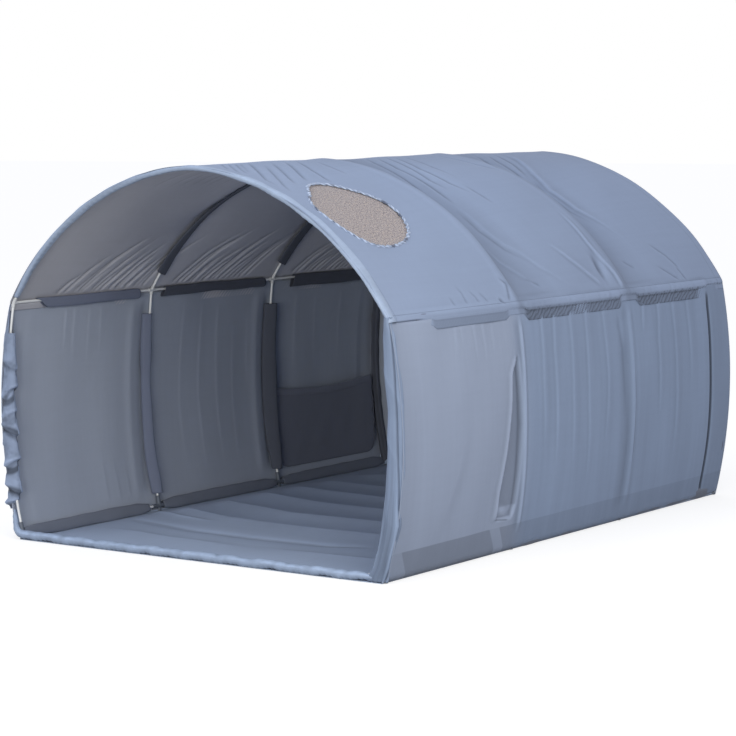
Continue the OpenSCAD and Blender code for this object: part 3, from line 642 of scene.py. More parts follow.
# creases over the hoops and down the slopes: ((distance from the ridge, y) ...), width, height, lean, fades
roofFolds = [
    ([(0.00, -0.850), (0.050, -0.893), (0.110, -0.945)], 0.0062, -0.0018, 0.6, (0.2, 0.4)),
    ([(0.00, -0.815), (0.060, -0.870), (0.120, -0.922), (0.170, -0.960)], 0.0062, -0.0022, 0.6, (0.2, 0.4)),
    ([(0.00, -0.782), (0.080, -0.855), (0.165, -0.925)], 0.0066, -0.0024, 0.6, (0.2, 0.4)),
    ([(0.00, -0.760), (0.070, -0.822), (0.156, -0.901)], 0.0055, -0.0014, 0.6, (0.2, 0.4)),
    ([(0.00, -0.718), (0.100, -0.800), (0.212, -0.897), (0.290, -0.925)], 0.0066, -0.0026, 0.6, (0.2, 0.4)),
    ([(0.04, -0.690), (0.117, -0.755), (0.258, -0.868), (0.335, -0.920)], 0.0075, -0.0020, 0.6, (0.3, 0.3)),
    ([(0.02, -0.625), (0.050, -0.654), (0.188, -0.755), (0.262, -0.808)], 0.0075, -0.0024, 0.8, (0.3, 0.3)),
    ([(0.01, -0.550), (0.036, -0.573), (0.160, -0.666), (0.240, -0.722)], 0.0080, -0.0028, 0.8, (0.3, 0.3)),
    ([(0.00, -0.485), (0.029, -0.504), (0.135, -0.569), (0.226, -0.609), (0.268, -0.622)],
     0.0080, -0.0026, 0.8, (0.3, 0.3)),
    ([(0.03, -0.420), (0.12, -0.455), (0.22, -0.480)], 0.0080, -0.0014, 0.8, (0.3, 0.4)),
    ([(0.00, -0.200), (0.120, -0.250), (0.272, -0.318), (0.371, -0.330)], 0.008, -0.0026, 0.8, (0.2, 0.4)),
    ([(0.00, -0.111), (0.100, -0.140), (0.188, -0.165), (0.286, -0.190), (0.370, -0.222)],
     0.008, -0.0032, 0.8, (0.2, 0.4)),
    ([(0.00, -0.053), (0.138, -0.107), (0.237, -0.118), (0.328, -0.132), (0.430, -0.150)],
     0.008, -0.0034, 0.8, (0.2, 0.3)),
    ([(0.00, -0.005), (0.142, -0.055), (0.255, -0.087), (0.353, -0.090)], 0.008, -0.0030, 0.8, (0.2, 0.4)),
    ([(0.01, 0.035), (0.170, -0.026), (0.300, -0.038), (0.409, -0.010)], 0.009, -0.0028, 0.8, (0.2, 0.4)),
    ([(0.02, 0.085), (0.170, 0.040), (0.300, 0.030)], 0.009, -0.0016, 0.8, (0.2, 0.5)),
    ([(0.311, 0.002), (0.385, 0.010), (0.459, 0.018)], 0.010, -0.0016, 0.5, (0.4, 0.4)),
    ([(0.36, -0.140), (0.430, -0.150), (0.550, -0.156), (0.628, -0.136), (0.673, -0.103), (0.740, -0.067),
      (0.80, -0.002), (0.839, 0.055)], 0.013, 0.0013, 1.2, (0.3, 0.3)),
    ([(0.42, -0.172), (0.55, -0.180), (0.65, -0.150), (0.73, -0.090)], 0.011, -0.0016, 0.0, (0.3, 0.4)),
    ([(0.60, -0.250), (0.70, -0.235), (0.80, -0.160), (0.84, -0.110)], 0.010, 0.0014, 0.6, (0.4, 0.3)),
    ([(0.03, 0.235), (0.184, 0.273), (0.276, 0.312)], 0.008, -0.0022, 0.6, (0.3, 0.4)),
    ([(0.02, 0.400), (0.10, 0.375), (0.198, 0.342), (0.272, 0.312)], 0.008, -0.0026, 0.6, (0.3, 0.4)),
    ([(0.02, 0.455), (0.12, 0.425), (0.220, 0.375)], 0.008, -0.0024, 0.6, (0.3, 0.4)),
    ([(0.015, 0.515), (0.100, 0.480), (0.198, 0.435), (0.28, 0.38)], 0.008, -0.0028, 0.6, (0.3, 0.4)),
    ([(0.022, 0.581), (0.114, 0.536), (0.215, 0.500), (0.31, 0.44)], 0.008, -0.0030, 0.6, (0.3, 0.4)),
    ([(0.019, 0.640), (0.145, 0.577), (0.272, 0.500)], 0.008, -0.0028, 0.6, (0.3, 0.4)),
    ([(0.01, 0.705), (0.107, 0.650), (0.244, 0.557), (0.357, 0.505), (0.480, 0.505), (0.575, 0.549), (0.666, 0.585)],
     0.010, 0.0032, 1.4, (0.2, 0.35)),
    ([(0.26, 0.520), (0.36, 0.470), (0.48, 0.470), (0.58, 0.515)], 0.014, -0.0020, 0.0, (0.3, 0.4)),
    ([(0.50, 0.297), (0.589, 0.292), (0.677, 0.288), (0.740, 0.300), (0.803, 0.320), (0.860, 0.324)],
     0.0075, 0.0028, 0.8, (0.35, 0.05)),
    ([(0.64, 0.060), (0.730, 0.115), (0.782, 0.160), (0.846, 0.217)], 0.0085, 0.0026, 1.0, (0.4, 0.15)),
    ([(0.775, -0.190), (0.786, -0.172), (0.818, -0.128)], 0.007, -0.0016, 0.6, (0.3, 0.3)),
    ([(0.772, -0.593), (0.810, -0.581), (0.853, -0.589)], 0.006, -0.0010, 0.4, (0.5, 0.2)),
    ([(0.796, -0.544), (0.828, -0.524), (0.853, -0.524)], 0.006, -0.0010, 0.4, (0.5, 0.2)),
    ([(0.807, -0.500), (0.835, -0.480), (0.855, -0.476)], 0.006, -0.0009, 0.4, (0.5, 0.2)),
    ([(0.810, -0.654), (0.842, -0.654), (0.856, -0.655)], 0.006, -0.0009, 0.4, (0.5, 0.2)),
    ([(0.68, 0.670), (0.751, 0.735), (0.814, 0.771)], 0.007, -0.0018, 0.6, (0.4, 0.2)),
    ([(0.780, 0.625), (0.832, 0.698), (0.856, 0.727)], 0.006, -0.0016, 0.6, (0.4, 0.2)),
    ([(0.789, 0.743), (0.821, 0.759), (0.860, 0.767)], 0.006, -0.0016, 0.6, (0.4, 0.2)),
    ([(0.737, 0.459), (0.765, 0.484), (0.79, 0.51)], 0.008, -0.0014, 0.6, (0.4, 0.4)),
    ([(0.768, -0.358), (0.796, -0.330), (0.835, -0.350), (0.868, -0.372)], 0.006, -0.0022, 0.6, (0.3, 0.3)),
    ([(0.844, -0.410), (0.866, -0.383)], 0.0050, -0.0060, 0.0, (0.2, 0.2)),
]
# the left slope, seen from inside: fans above the eave sleeves and off the front hoop near the ridge
fan = np.random.RandomState(11)
for bay, (first, last) in enumerate([(-0.80, -0.38), (-0.24, 0.16), (0.44, 0.86)]):
    for k in range(15):
        y = first + (last - first) * (k + fan.uniform(-0.3, 0.3)) / 14
        long = fan.uniform(0.10, 0.30) * (1.0 if bay < 2 else 0.7)
        rise = fan.uniform(0.6, 0.85)
        line = [(-0.862, y), (-0.862 + long * 0.5, y + long * 0.5 * rise), (-0.862 + long, y + long * (rise + 0.1))]
        roofFolds.append((line, 0.0055, 0.0016 + fan.uniform(0, 0.0022), -1.2, (0.08, 0.6)))
for k in range(8):
    y = -0.80 + 0.052 * k + fan.uniform(-0.01, 0.01)
    roofFolds.append(([(-0.05, y), (-0.16, y - 0.02), (-0.30, y - 0.03)], 0.007, 0.0024, -1.0, (0.2, 0.6)))
for bay in (1, 2):
    for k in range(6):
        y = hoopY[bay] + 0.06 + 0.09 * k + fan.uniform(-0.012, 0.012)
        roofFolds.append(([(-0.06, y), (-0.20, y + 0.04), (-0.40, y + 0.12)], 0.008, 0.0022, -1.0, (0.3, 0.6)))


def roofDip(s, y):  # how far the cloth lies inside the line over the hoops
    v = np.clip((y - hoopY[0]) / bayLong, 0, 3)
    bay = np.clip(np.floor(v), 0, 2)
    v = v - bay
    edge = roof["sleeveHalf"] / bayLong
    v = np.clip((v - edge) / (1 - 2 * edge), 0, 1)
    w = np.clip(1 - np.abs(s) / archHalf, 0, 1)
    even = 4 * v * (1 - v) * 0.5
    past = v / roof["slackAt"]
    early = past ** 0.9 * np.exp(0.9 * (1 - past)) * (1 - v ** 5)  # slack gathers behind each middle hoop
    hang = np.where(bay == 0, even, even + (early - even) * smooth(-0.15, 0.12, s))
    left = (1 - v) / roof["tuckAt"]  # on the left slope the front bay hangs down just before the second hoop
    late = roof["tuck"] * smooth(0.28, 0.58, w) * smooth(0.01, 0.12, -s)
    late = late * np.where(bay == 0, left * np.exp(1 - left), 0)
    return (roof["flankSag"] * np.sin(math.pi * w) ** 0.8 + roof["ridgeSag"] * w) * hang + late


def bandShare(y):
    return sum(smooth(a - 0.012, a + 0.02, y) * (1 - smooth(b - 0.02, b + 0.012, y)) for a, b, _, _ in roof["bands"])


def roofSurface(s, y, lift=0.0):
    drop = np.abs(s) - archHalf
    beyond = drop > 0
    inside = np.clip(s, -archHalf, archHalf)
    crest = sum(np.exp(-((y - h) / roof["crownWide"]) ** 2) for h in hoopY[1:3]) * roof["crown"]
    band = bandShare(y)
    rearBays = smooth(-0.36, -0.31, y)
    uneven = (ripple(y, 0 * y, 8, 0.07) + ripple(y, s * 0.3, 9, 0.028)) * 0.12 * rearBays
    plump = (0.04 + 0.86 * rearBays) * (0.25 + 0.75 * band) + uneven
    bulge = np.sin(math.pi * np.clip((drop + 0.009) / (roof["rollEnd"] + 0.009), 0, 1)) ** 0.8
    roll = bulge * roof["rollHigh"] * plump
    over = np.clip(1 - np.abs(s) / archHalf, 0, 1) ** 1.3
    crest = crest + (roof["rearRise"] * smooth(-0.45, 0.45, y) + roof["mouthRise"] * smooth(-0.98, -0.62, y)) * over
    high = tent["skinOff"] - roofDip(inside, y) + crest + lift
    high = high + ripple(s, y, 3, 0.30) * roof["uneven"] * (1 - np.exp(-(drop / 0.05) ** 2))
    high = high + foldField(s, y, roofFolds) * roof["foldHeight"]
    dent = roof["dent"]
    a, b = s - dent["s"], y - dent["y"]
    high = high - dent["deep"] * np.exp(-(a / dent["long"]) ** 2 - ((b + a * 0.15) / dent["wide"]) ** 2)
    flat = tent["skinOff"] + crest + lift  # the folds end where the roll begins
    high = np.where(np.abs(drop) < 0.03, flat + (high - flat) * smooth(0, 0.03, -drop), high)
    x, z = archPoint(inside, high + roll)
    down = drop * (0.58 + (0.24 + 0.18 * rearBays) * band)
    pucker = np.sin((y + drop * 0.9) * 2 * math.pi / roof["puckerPitch"]) * np.where(y < hoopY[1], 0.3, 1.0)
    pucker = pucker * roof["puckerHigh"] * smooth(roof["rollEnd"], roof["rollEnd"] + 0.006, drop)
    zBand = archPoint(np.full_like(s, archHalf), tent["skinOff"])[1] - down * 0.97
    xBand = wallX(y, zBand) + roof["bandGap"] + roll + pucker * band
    # in front it tucks behind the wall
    xBand = xBand - roof["bandTuck"] * (1 - smooth(-0.88, -0.82, y)) * smooth(0.012, 0.020, drop)
    x0 = archPoint(np.full_like(s, archHalf), high + roll)[0]
    join = smooth(0.0, 0.009 + 0.012 * (1 - rearBays), drop)
    x = np.where(beyond, (x0 * (1 - join) + xBand * join) * np.sign(s), x)
    z = np.where(beyond, zBand, z)
    return np.stack([x, y, z], axis=-1)


def ventReach(angle):
    return 1 + sum(a * np.cos(k * angle) + b * np.sin(k * angle) for k, (a, b) in enumerate(roof["ventShape"], 1))


def ventPlace(s, y):  # place in the vent's own outline: 1 on its edge
    turn = math.radians(roof["ventTurn"])
    a, b = s - roof["ventS"], y - roof["ventY"]
    a, b = ((a * math.cos(turn) + b * math.sin(turn)) / roof["ventLong"],
            (b * math.cos(turn) - a * math.sin(turn)) / roof["ventShort"])
    reach = ventReach(np.arctan2(b, a))
    return a / reach, b / reach


def ventEdge(angle, more=0.0):  # the sheet place of a point on the outline, or a little outside it
    turn = math.radians(roof["ventTurn"])
    reach = ventReach(angle)
    a, b = (roof["ventLong"] * reach + more) * np.cos(angle), (roof["ventShort"] * reach + more) * np.sin(angle)
    return (roof["ventS"] + a * math.cos(turn) - b * math.sin(turn),
            roof["ventY"] + a * math.sin(turn) + b * math.cos(turn))


def ventDistance(s, y):
    return (np.hypot(*ventPlace(s, y)) - 1) * roof["ventShort"]


def makeRoof():
    reach = archHalf + roof["bandDrop"]
    s, y = lattice(-reach, reach, roof["step"], -endY, endY, roof["step"])
    near = np.abs(ventDistance(s, y)) < roof["step"] * 0.55
    along, across = ventPlace(s, y)
    edgeS, edgeY = ventEdge(np.arctan2(across, along))
    s, y = np.where(near, edgeS, s), np.where(near, edgeY, y)
    grid = roofSurface(s, y)
    gap = ventDistance(s, y)
    middle = (gap[:-1, :-1] + gap[1:, :-1] + gap[1:, 1:] + gap[:-1, 1:]) / 4
    piece = clothPiece("roofCanopy", grid, np.stack([s, y], -1), "roofOut", "roofIn", 0.0009, keep=middle > 0)
    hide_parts("roof_front", "roof_middle", "roof_rear")
    return piece


# walls: one sheet on each side, tucked under the eave band
rightFolds = [
    ([(-0.690, 0.715), (-0.694, 0.60)], 0.010, 0.0013, 0.6, (0.05, 0.7)),
    ([(-0.655, 0.715), (-0.656, 0.62)], 0.009, 0.0010, 0.6, (0.05, 0.7)),
    ([(-0.590, 0.715), (-0.578, 0.58)], 0.011, 0.0015, 0.6, (0.05, 0.7)),
    ([(-0.540, 0.715), (-0.526, 0.57)], 0.010, 0.0013, 0.6, (0.05, 0.7)),
    ([(-0.49, 0.715), (-0.485, 0.60)], 0.010, 0.0010, 0.6, (0.05, 0.7)),
    ([(-0.128, 0.72), (-0.144, 0.604), (-0.138, 0.20)], 0.014, 0.0035, 0.8, (0.05, 0.4)),
    ([(-0.205, 0.72), (-0.215, 0.50), (-0.21, 0.25)], 0.013, 0.0028, 0.8, (0.05, 0.4)),
    ([(-0.035, 0.72), (-0.04, 0.45), (-0.03, 0.15)], 0.016, 0.0030, 0.8, (0.05, 0.4)),
    ([(0.06, 0.72), (0.055, 0.40), (0.07, 0.10)], 0.014, 0.0028, 0.8, (0.05, 0.4)),
    ([(0.17, 0.72), (0.18, 0.50), (0.16, 0.22)], 0.013, 0.0025, 0.8, (0.05, 0.4)),
    ([(0.434, 0.715), (0.414, 0.60)], 0.009, 0.0030, 0.8, (0.05, 0.6)),
    ([(0.536, 0.715), (0.517, 0.583), (0.521, 0.30)], 0.013, 0.0036, 0.8, (0.05, 0.4)),
    ([(0.632, 0.715), (0.632, 0.387), (0.63, 0.12)], 0.014, 0.0034, 0.8, (0.05, 0.4)),
    ([(0.735, 0.715), (0.74, 0.40)], 0.014, 0.0028, 0.8, (0.05, 0.5)),
    ([(0.26, 0.70), (0.284, 0.572), (0.288, 0.30)], 0.018, -0.0060, 0.0, (0.15, 0.5)),
    ([(-0.80, 0.10), (-0.70, 0.30), (-0.66, 0.48)], 0.04, 0.0040, 0.6, (0.3, 0.5)),
]
leftFolds = [
    ([(-1.0, 0.60), (-0.955, 0.63)], 0.007, -0.0150, 0.4, (0.05, 0.5)),
    ([(-1.0, 0.53), (-0.950, 0.56)], 0.007, -0.0150, 0.4, (0.05, 0.5)),
    ([(-1.0, 0.45), (-0.955, 0.47)], 0.007, -0.0120, 0.4, (0.05, 0.5)),
    ([(-1.0, 0.36), (-0.950, 0.39)], 0.007, -0.0150, 0.4, (0.05, 0.5)),
    ([(-1.0, 0.20), (-0.940, 0.24)], 0.008, -0.0120, 0.4, (0.05, 0.5)),
    ([(-0.742, 0.71), (-0.735, 0.55)], 0.008, -0.0050, 0.8, (0.05, 0.7)),
    ([(-0.700, 0.71), (-0.69, 0.50)], 0.010, -0.0040, 0.8, (0.05, 0.7)),
    ([(-0.625, 0.71), (-0.62, 0.48)], 0.011, -0.0035, 0.8, (0.05, 0.7)),
    ([(-0.57, 0.71), (-0.56, 0.52)], 0.011, -0.0030, 0.8, (0.05, 0.7)),
    ([(-0.56, 0.06), (-0.57, 0.28)], 0.010, -0.0035, 0.8, (0.05, 0.7)),
    ([(-0.50, 0.06), (-0.52, 0.24)], 0.009, -0.0035, 0.8, (0.05, 0.7)),
    ([(-0.45, 0.06), (-0.455, 0.20)], 0.009, -0.0030, 0.8, (0.05, 0.7)),
    ([(-0.14, 0.70), (-0.15, 0.35), (-0.13, 0.08)], 0.014, -0.0035, 0.8, (0.1, 0.3)),
    ([(-0.04, 0.70), (-0.05, 0.35), (-0.03, 0.08)], 0.013, -0.0035, 0.8, (0.1, 0.3)),
    ([(0.05, 0.70), (0.05, 0.35), (0.07, 0.08)], 0.014, -0.0038, 0.8, (0.1, 0.3)),
    ([(0.14, 0.62), (0.14, 0.35), (0.15, 0.08)], 0.012, -0.0030, 0.8, (0.2, 0.3)),
    ([(0.22, 0.66), (0.23, 0.35)], 0.016, -0.0035, 0.8, (0.2, 0.3)),
    ([(0.50, 0.70), (0.50, 0.40)], 0.016, -0.0035, 0.8, (0.1, 0.3)),
    ([(0.62, 0.70), (0.63, 0.40)], 0.018, -0.0030, 0.8, (0.1, 0.3)),
    ([(0.78, 0.70), (0.78, 0.40)], 0.018, -0.0030, 0.8, (0.1, 0.3)),
]


def lineAt(line, z):
    return np.interp(z, *zip(*line))


def wallOffset(side, y, z):
    high = foldField(y, z, rightFolds if side > 0 else leftFolds, 1.8) * wall["foldHeight"][side]
    high = high + ripple(y * 1.6, z * 0.4, 21 + side, 0.22) * 0.0016 * smooth(0.0, 0.10, z)
    high = high - wall["curl"] * (1 - smooth(0.0, 0.020, z))  # the foot turns in under the floor rods
    # the cloth stands proud over each post's sleeve and falls away beside it
    for post, (ahead, wide, tallness) in zip(hoopY[1:3], wall["ridges"][side]):
        over = post + ahead
        ridge = np.exp(-((y - over) / wide) ** 2) * tallness - np.exp(-((y - over + wide * 2.6) / 0.02) ** 2) * 0.0035
        high = high + ridge * smooth(0.04, 0.10, z) * (1 - smooth(0.67, 0.73, z))
    if side < 0:  # room for the pocket's mouth to swing back
        room = wall["mouthRoom"] * smooth(0.33, 0.40, y) * (1 - smooth(0.94, 1.0, y))
        high = high + room * np.exp(-((z - 0.325) / 0.055) ** 2)
    if side > 0:  # the loose strip beside the second post, with the panel's edge standing over it
        left, right = lineAt(wall["stripLeft"], z), lineAt(wall["stripRight"], z)
        tall = smooth(0.110, 0.122, z) * (1 - smooth(0.585, 0.605, z))
        within = smooth(left - 0.003, left + 0.003, y) * (1 - smooth(right - 0.018, right, y))
        high = high - wall["stripDeep"] * within * tall
        high = high + wall["stripLip"] * np.exp(-((y - left + 0.008) / 0.012) ** 2) * tall * (y < left + 0.001)
        flap = np.exp(-((y + 0.425 + (z - 0.13) * 0.5) / 0.026) ** 2 - ((z - 0.135) / 0.018) ** 2)
        high = high + wall["flapHigh"] * flap
        # behind the rear bay the cloth folds in, then swells round the last post
        fold = wall["groove"]
        groove = np.exp(-((y - fold["y"]) / fold["wide"]) ** 2) * fold["deep"]
        groove = groove * smooth(0.015, 0.06, z) * (1 - smooth(0.66, 0.72, z))
        high = high - groove
        swell = smooth(0.876, 0.925, y) * wall["swell"][side]
    else:
        swell = smooth(0.90, 0.94, np.abs(y)) * wall["swell"][side]
    return high + swell * np.sin(math.pi * np.clip((z - 0.02) / 0.72, 0, 1)) ** 0.5


def makeWall(side):
    y, z = lattice(-endY, endY, wall["stepY"], wall["low"], wall["top"], wall["stepZ"])
    z = wall["low"] + (z - wall["low"]) * (1 - 0.5 * np.exp(-((z - wall["low"]) / 0.03)))
    x = (wallX(y, z) + wallOffset(side, y, z)) * side
    grid = np.stack([x, y, z], axis=-1)
    coords = np.stack([y, z], axis=-1)
    word, name, outer, order = {1: ("right", "wallRight", "wallOut", 1), -1: ("left", "wallLeft", "wallLeft", -1)}[side]
    piece = clothPiece(name, grid[::order], coords[::order], outer, "wallIn", 0.0009)
    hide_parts(*[f"wall_{word}_{bay}" for bay in ("front", "middle", "rear")])
    return piece


rear = {"y": 1.0093, "off": 0.0088, "eave": 0.7537, "side": 0.0006, "rowsBelow": 90, "rowsAbove": 60, "columns": 301,
        "flat": (1.53, 1.182), "area": 1.60}


def makeRearWall():
    # rows run from the ground to the roof, each from the left edge to the right one
    eave, radius = rear["eave"], archR + rear["off"]
    z = np.concatenate([np.linspace(wallLow, eave, rear["rowsBelow"]),
                        np.linspace(eave + 0.004, archPoint(0.001, rear["off"])[1] - 0.0006, rear["rowsAbove"])])
    half = np.where(z <= eave, wallX(1.0, np.minimum(z, wallHigh)) + rear["side"], 0)
    angle = np.arcsin(np.clip((z - archCz) / radius, -1, 1))
    half = np.where(z > eave, archCx + radius * np.cos(angle), half)
    share = np.linspace(-1, 1, rear["columns"])
    x = half[None, :] * share[:, None]
    zz = np.broadcast_to(z, x.shape)
    fade = 1 - np.abs(share[:, None]) ** 6
    out = ripple(x * 1.5, zz * 0.5, 31, 0.25) * 0.0030 + ripple(x * 5, zz * 0.8, 32, 0.30) * 0.0016
    out = np.maximum(out, -0.002) * fade * smooth(0, 0.06, zz)
    grid = np.stack([x, rear["y"] + out, zz], axis=-1)
    piece = clothPiece("wallRear", grid[::-1], np.stack([x, zz], -1)[::-1], "rearOut", "wallIn", 0.0009,
                       offset=0.0)
    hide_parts("rear_wall")
    return piece


makeRoof()
makeWall(1)
makeWall(-1)
makeRearWall()
print("roof and walls made")


# groundsheet
ground = {
    "step": 0.006, "thick": 0.0012, "half": 0.6985, "turned": 0.006, "end": 1.0135, "low": 0.0014, "foldHeight": 2.4,
}
floorFolds = [
    ([(-0.690, -0.525), (-0.34, -0.604), (-0.085, -0.618), (0.184, -0.607), (0.42, -0.56)],
     0.016, -0.0035, 0.0, (0.1, 0.3)),
    ([(-0.680, -0.320), (-0.31, -0.430), (-0.013, -0.452), (0.273, -0.440), (0.60, -0.41)],
     0.050, 0.0105, -0.9, (0.12, 0.25)),
    ([(-0.680, -0.110), (-0.21, -0.243), (0.118, -0.240), (0.60, -0.20)], 0.044, 0.0100, -0.8, (0.12, 0.25)),
    ([(-0.680, 0.100), (-0.267, 0.002), (-0.036, -0.010), (0.60, 0.02)], 0.040, 0.0090, -0.8, (0.12, 0.25)),
    ([(-0.680, 0.300), (-0.413, 0.250), (-0.10, 0.215), (0.60, 0.23)], 0.038, 0.0080, -0.7, (0.12, 0.25)),
    ([(-0.680, 0.480), (-0.40, 0.450), (0.10, 0.430), (0.60, 0.46)], 0.036, 0.0070, -0.7, (0.12, 0.25)),
    ([(-0.660, 0.680), (0.0, 0.640), (0.60, 0.66)], 0.034, 0.0070, -0.6, (0.15, 0.25)),
    ([(-0.640, 0.850), (0.0, 0.830), (0.60, 0.85)], 0.030, 0.0060, -0.5, (0.15, 0.25)),
    ([(-0.670, -0.40), (-0.50, -0.46), (-0.30, -0.50)], 0.014, 0.0030, -0.6, (0.1, 0.5)),
    ([(-0.660, -0.70), (-0.30, -0.76), (0.10, -0.77)], 0.050, 0.0035, -0.6, (0.3, 0.4)),
    ([(0.62, -0.72), (0.30, -0.74), (0.0, -0.73)], 0.040, 0.0035, 0.5, (0.2, 0.5)),
]


def makeGround():
    wide, turned, end = ground["half"], ground["turned"], ground["end"]  # the sides turn up against the walls
    x, y = lattice(-wide - turned, wide + turned, ground["step"], -end, end, ground["step"])
    lift = foldField(x, y, floorFolds, 1.35) * ground["foldHeight"]
    lift = lift + (ripple(x * 0.5, y * 1.6, 41, 0.35) + 1.2) * 0.0014
    edge = smooth(0, 0.07, np.maximum(wide - np.abs(x), 0)) * smooth(0, 0.06, end - np.abs(y))
    up = np.maximum(np.abs(x) - wide, 0)
    z = ground["low"] + np.maximum(lift, 0) * edge + up
    grid = np.stack([np.clip(x, -wide, wide) + np.sign(x) * up * 0.12, y, z], axis=-1)
    piece = clothPiece("groundCloth", grid, np.stack([x, y], -1), "floor", "floor", ground["thick"])
    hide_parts("groundsheet")
    return piece


makeGround()


# sleeves: cloth tubes along a path
def tubePiece(name, path, wide, deep, widths, depths, finish, nodes, cut=None, bumps=None, inner=None,
              power=0.85, thick=0.0009, turns=40):
    # path[n,3] is the middle, wide[n,3] and deep[n,3] the section's own axes, widths and depths its half sizes
    n = len(path)
    phi = np.linspace(0, 2 * math.pi, turns, endpoint=False)[:, None]
    c, s = np.cos(phi), np.sin(phi)
    a = np.sign(c) * np.abs(c) ** power
    b = np.sign(s) * np.abs(s) ** power
    steps = np.concatenate([[0], np.cumsum(np.linalg.norm(np.diff(path, axis=0), axis=1))])
    t = np.broadcast_to(steps / steps[-1], (turns, n)).copy()
    if cut is not None:  # each strand of the tube may start and stop at its own place
        start, stop = cut(phi)
        t = start + (stop - start) * t
    sample = lambda rows: np.stack([np.interp(t, steps / steps[-1], rows[:, k]) for k in range(3)], axis=-1)
    w = np.interp(t, steps / steps[-1], widths)
    d = np.interp(t, steps / steps[-1], depths)
    mid, axisA, axisB = sample(path), sample(wide), sample(deep)
    grid = mid + axisA * (a * w)[..., None] + axisB * (b * d)[..., None]
    relief = 0 * t
    if bumps is not None:
        relief = bumps(phi + 0 * t, t * steps[-1])
        grid = grid + normalsOf(grid, True) * relief[..., None]
    around = np.mean(widths) * 2.3 + np.mean(depths) * 2.3
    coords = np.stack([phi / (2 * math.pi) * around + 0 * t, t * steps[-1]], axis=-1)
    piece = clothPiece(name, grid, coords, finish, inner, thick, wrap=True, relief=relief)
    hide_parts(*nodes)
    return piece


def allAlong(axis, n):  # the same axis at every station
    return np.tile(axis, (n, 1))


def spread(values, n):  # a list of (place from 0 to 1, value) over n stations
    places, numbers = zip(*values)
    return np.interp(np.linspace(0, 1, n), places, numbers)


archSleeves = {
    "n": 260, "endBare": 0.022, "midBare": 0.060, "frontPast": 0.010,
    "ahead": (0.0, 0.0040, 0.0020, -0.0135), "off": (0.0018, -0.0012, -0.0012, -0.0030),  # at each hoop
    "rearHalf": 0.0165, "frontDeep": 0.0084, "rearDeep": 0.0072,
    "endFlat": 0.075, "secondFlat": 0.076, "thirdFlat": 0.088,
}


def makeArchSleeve(hoop, name, node):
    ends = hoop in (0, 3)
    bare = archSleeves["endBare"] if ends else archSleeves["midBare"]
    n = archSleeves["n"]
    s = np.linspace(-archHalf + bare, archHalf - (-archSleeves["frontPast"] if hoop == 0 else bare), n)
    x, z = archPoint(s, archSleeves["off"][hoop])
    path = np.stack([x, np.full_like(x, hoopY[hoop] + archSleeves["ahead"][hoop]), z], axis=-1)
    frontHalf = 0.0118 + 0.0077 * smooth(-0.45, 0.25, s)  # the front hem is narrower on the left
    if hoop == 0:
        path[:, 1] += frontHalf - 0.0098
    out = np.stack([x - np.sign(s) * archCx, 0 * x, z - archCz], axis=-1)
    out /= np.linalg.norm(out, axis=1, keepdims=True)
    along = allAlong([0.0, 1.0, 0.0], n)
    if ends:
        def lumps(phi, t):
            gathers = np.maximum(np.sin(t * 2 * math.pi / 0.022 + np.sin(t * 31) * 2), 0) * 0.0010
            return (np.sin(phi * 2 + t * 9) * 0.0009 + ripple(phi * 0.02, t, 51 + hoop, 0.10) * 0.0011
                    + gathers * smooth(0.1, 0.9, -np.sin(phi)))

        half, deep, colour = ((frontHalf, archSleeves["frontDeep"], "hem") if hoop == 0 else
                              (np.full(n, archSleeves["rearHalf"]), archSleeves["rearDeep"], "panel"))
        return tubePiece(name, path, along, out, half, np.full(n, deep), colour, [node],
                         bumps=lumps, power=0.8)
    slant = lambda phi: (0.012 * (0.5 - 0.5 * np.cos(phi)), 1 - 0.012 * (0.5 - 0.5 * np.cos(phi)))
    lumps = lambda phi, t: ripple(phi * 0.02, t, 51 + hoop, 0.16) * 0.0008
    low = np.abs(s) / archHalf  # the second sleeve is drawn thin towards the ridge, the third stays wide
    half = 0.0100 + 0.0150 * smooth(0.50, 0.92, low) if hoop == 1 else np.full(n, 0.0262)
    deep = (0.0048 if hoop == 1 else 0.0054) + 0.0010 * smooth(0.4, 0.9, low)
    # painted shade: the middle arch sleeves take the darkest copy of the sleeve cloth
    return tubePiece(name, path, along, out, half, deep, "sleeveDeep", [node], cut=slant,
                     bumps=lumps, power=0.8)


for hoop, word in enumerate(["front", "second", "third", "rear"]):
    makeArchSleeve(hoop, word + "ArchSleeve", word + "_arch_sleeve")


eaveSleeves = {
    "Front": (-0.898, -0.398, 0.7415, 0.0165, 0.052), "Middle": (-0.284, 0.284, 0.7430, 0.0165, -0.020),
    "Rear": (0.438, 0.905, 0.7380, 0.0225, -0.022),
}  # from, to, height, half height, how far the lower lip stands back
sideSleeves = {"Front": (-0.992, -0.386), "Middle": (-0.312, 0.312), "Rear": (0.356, 0.985)}  # from, to
sideSleeve = {"x": 0.7012, "inside": 0.0120, "z": 0.0205, "tilt": math.radians(26), "flat": 0.085}


def makeEaveSleeve(name, side, spec, seed):
    first, last, z, high, lip = spec
    # painted shade: the eave sleeves behind the front bay take the darker copy of the sleeve cloth
    colour = "sleeveDark" if first < hoopY[1] else "sleeveDeep"
    n = 110
    y = np.linspace(first, last, n)
    path = np.stack([np.full(n, (eaveX - 0.0015) * side), y, z + ripple(y, 0 * y, seed, 0.22) * 0.0010], axis=-1)
    up, inward = allAlong([0.0, 0.0, 1.0], n), allAlong([-1.0 * side, 0.0, 0.0], n)
    length = last - first

    def cut(phi):  # a slanting mouth in front, a rounded end behind
        low = (1 - np.cos(phi)) / 2
        start = max(lip, 0) / length * low + max(-lip, 0) / length * (1 - low)
        return start, 1 - high * 0.75 / length * (1 - np.abs(np.sin(phi)))

    lumps = lambda phi, t: ripple(phi * 0.015, t, seed + 1, 0.12) * 0.0008
    deep = spread([(0, 0.0085), (0.1, 0.0075), (1, 0.0070)], n)
    tubePiece(name, path, up, inward, np.full(n, high), deep, colour, ["eave_sleeves"], cut=cut, bumps=lumps,
              power=0.75)


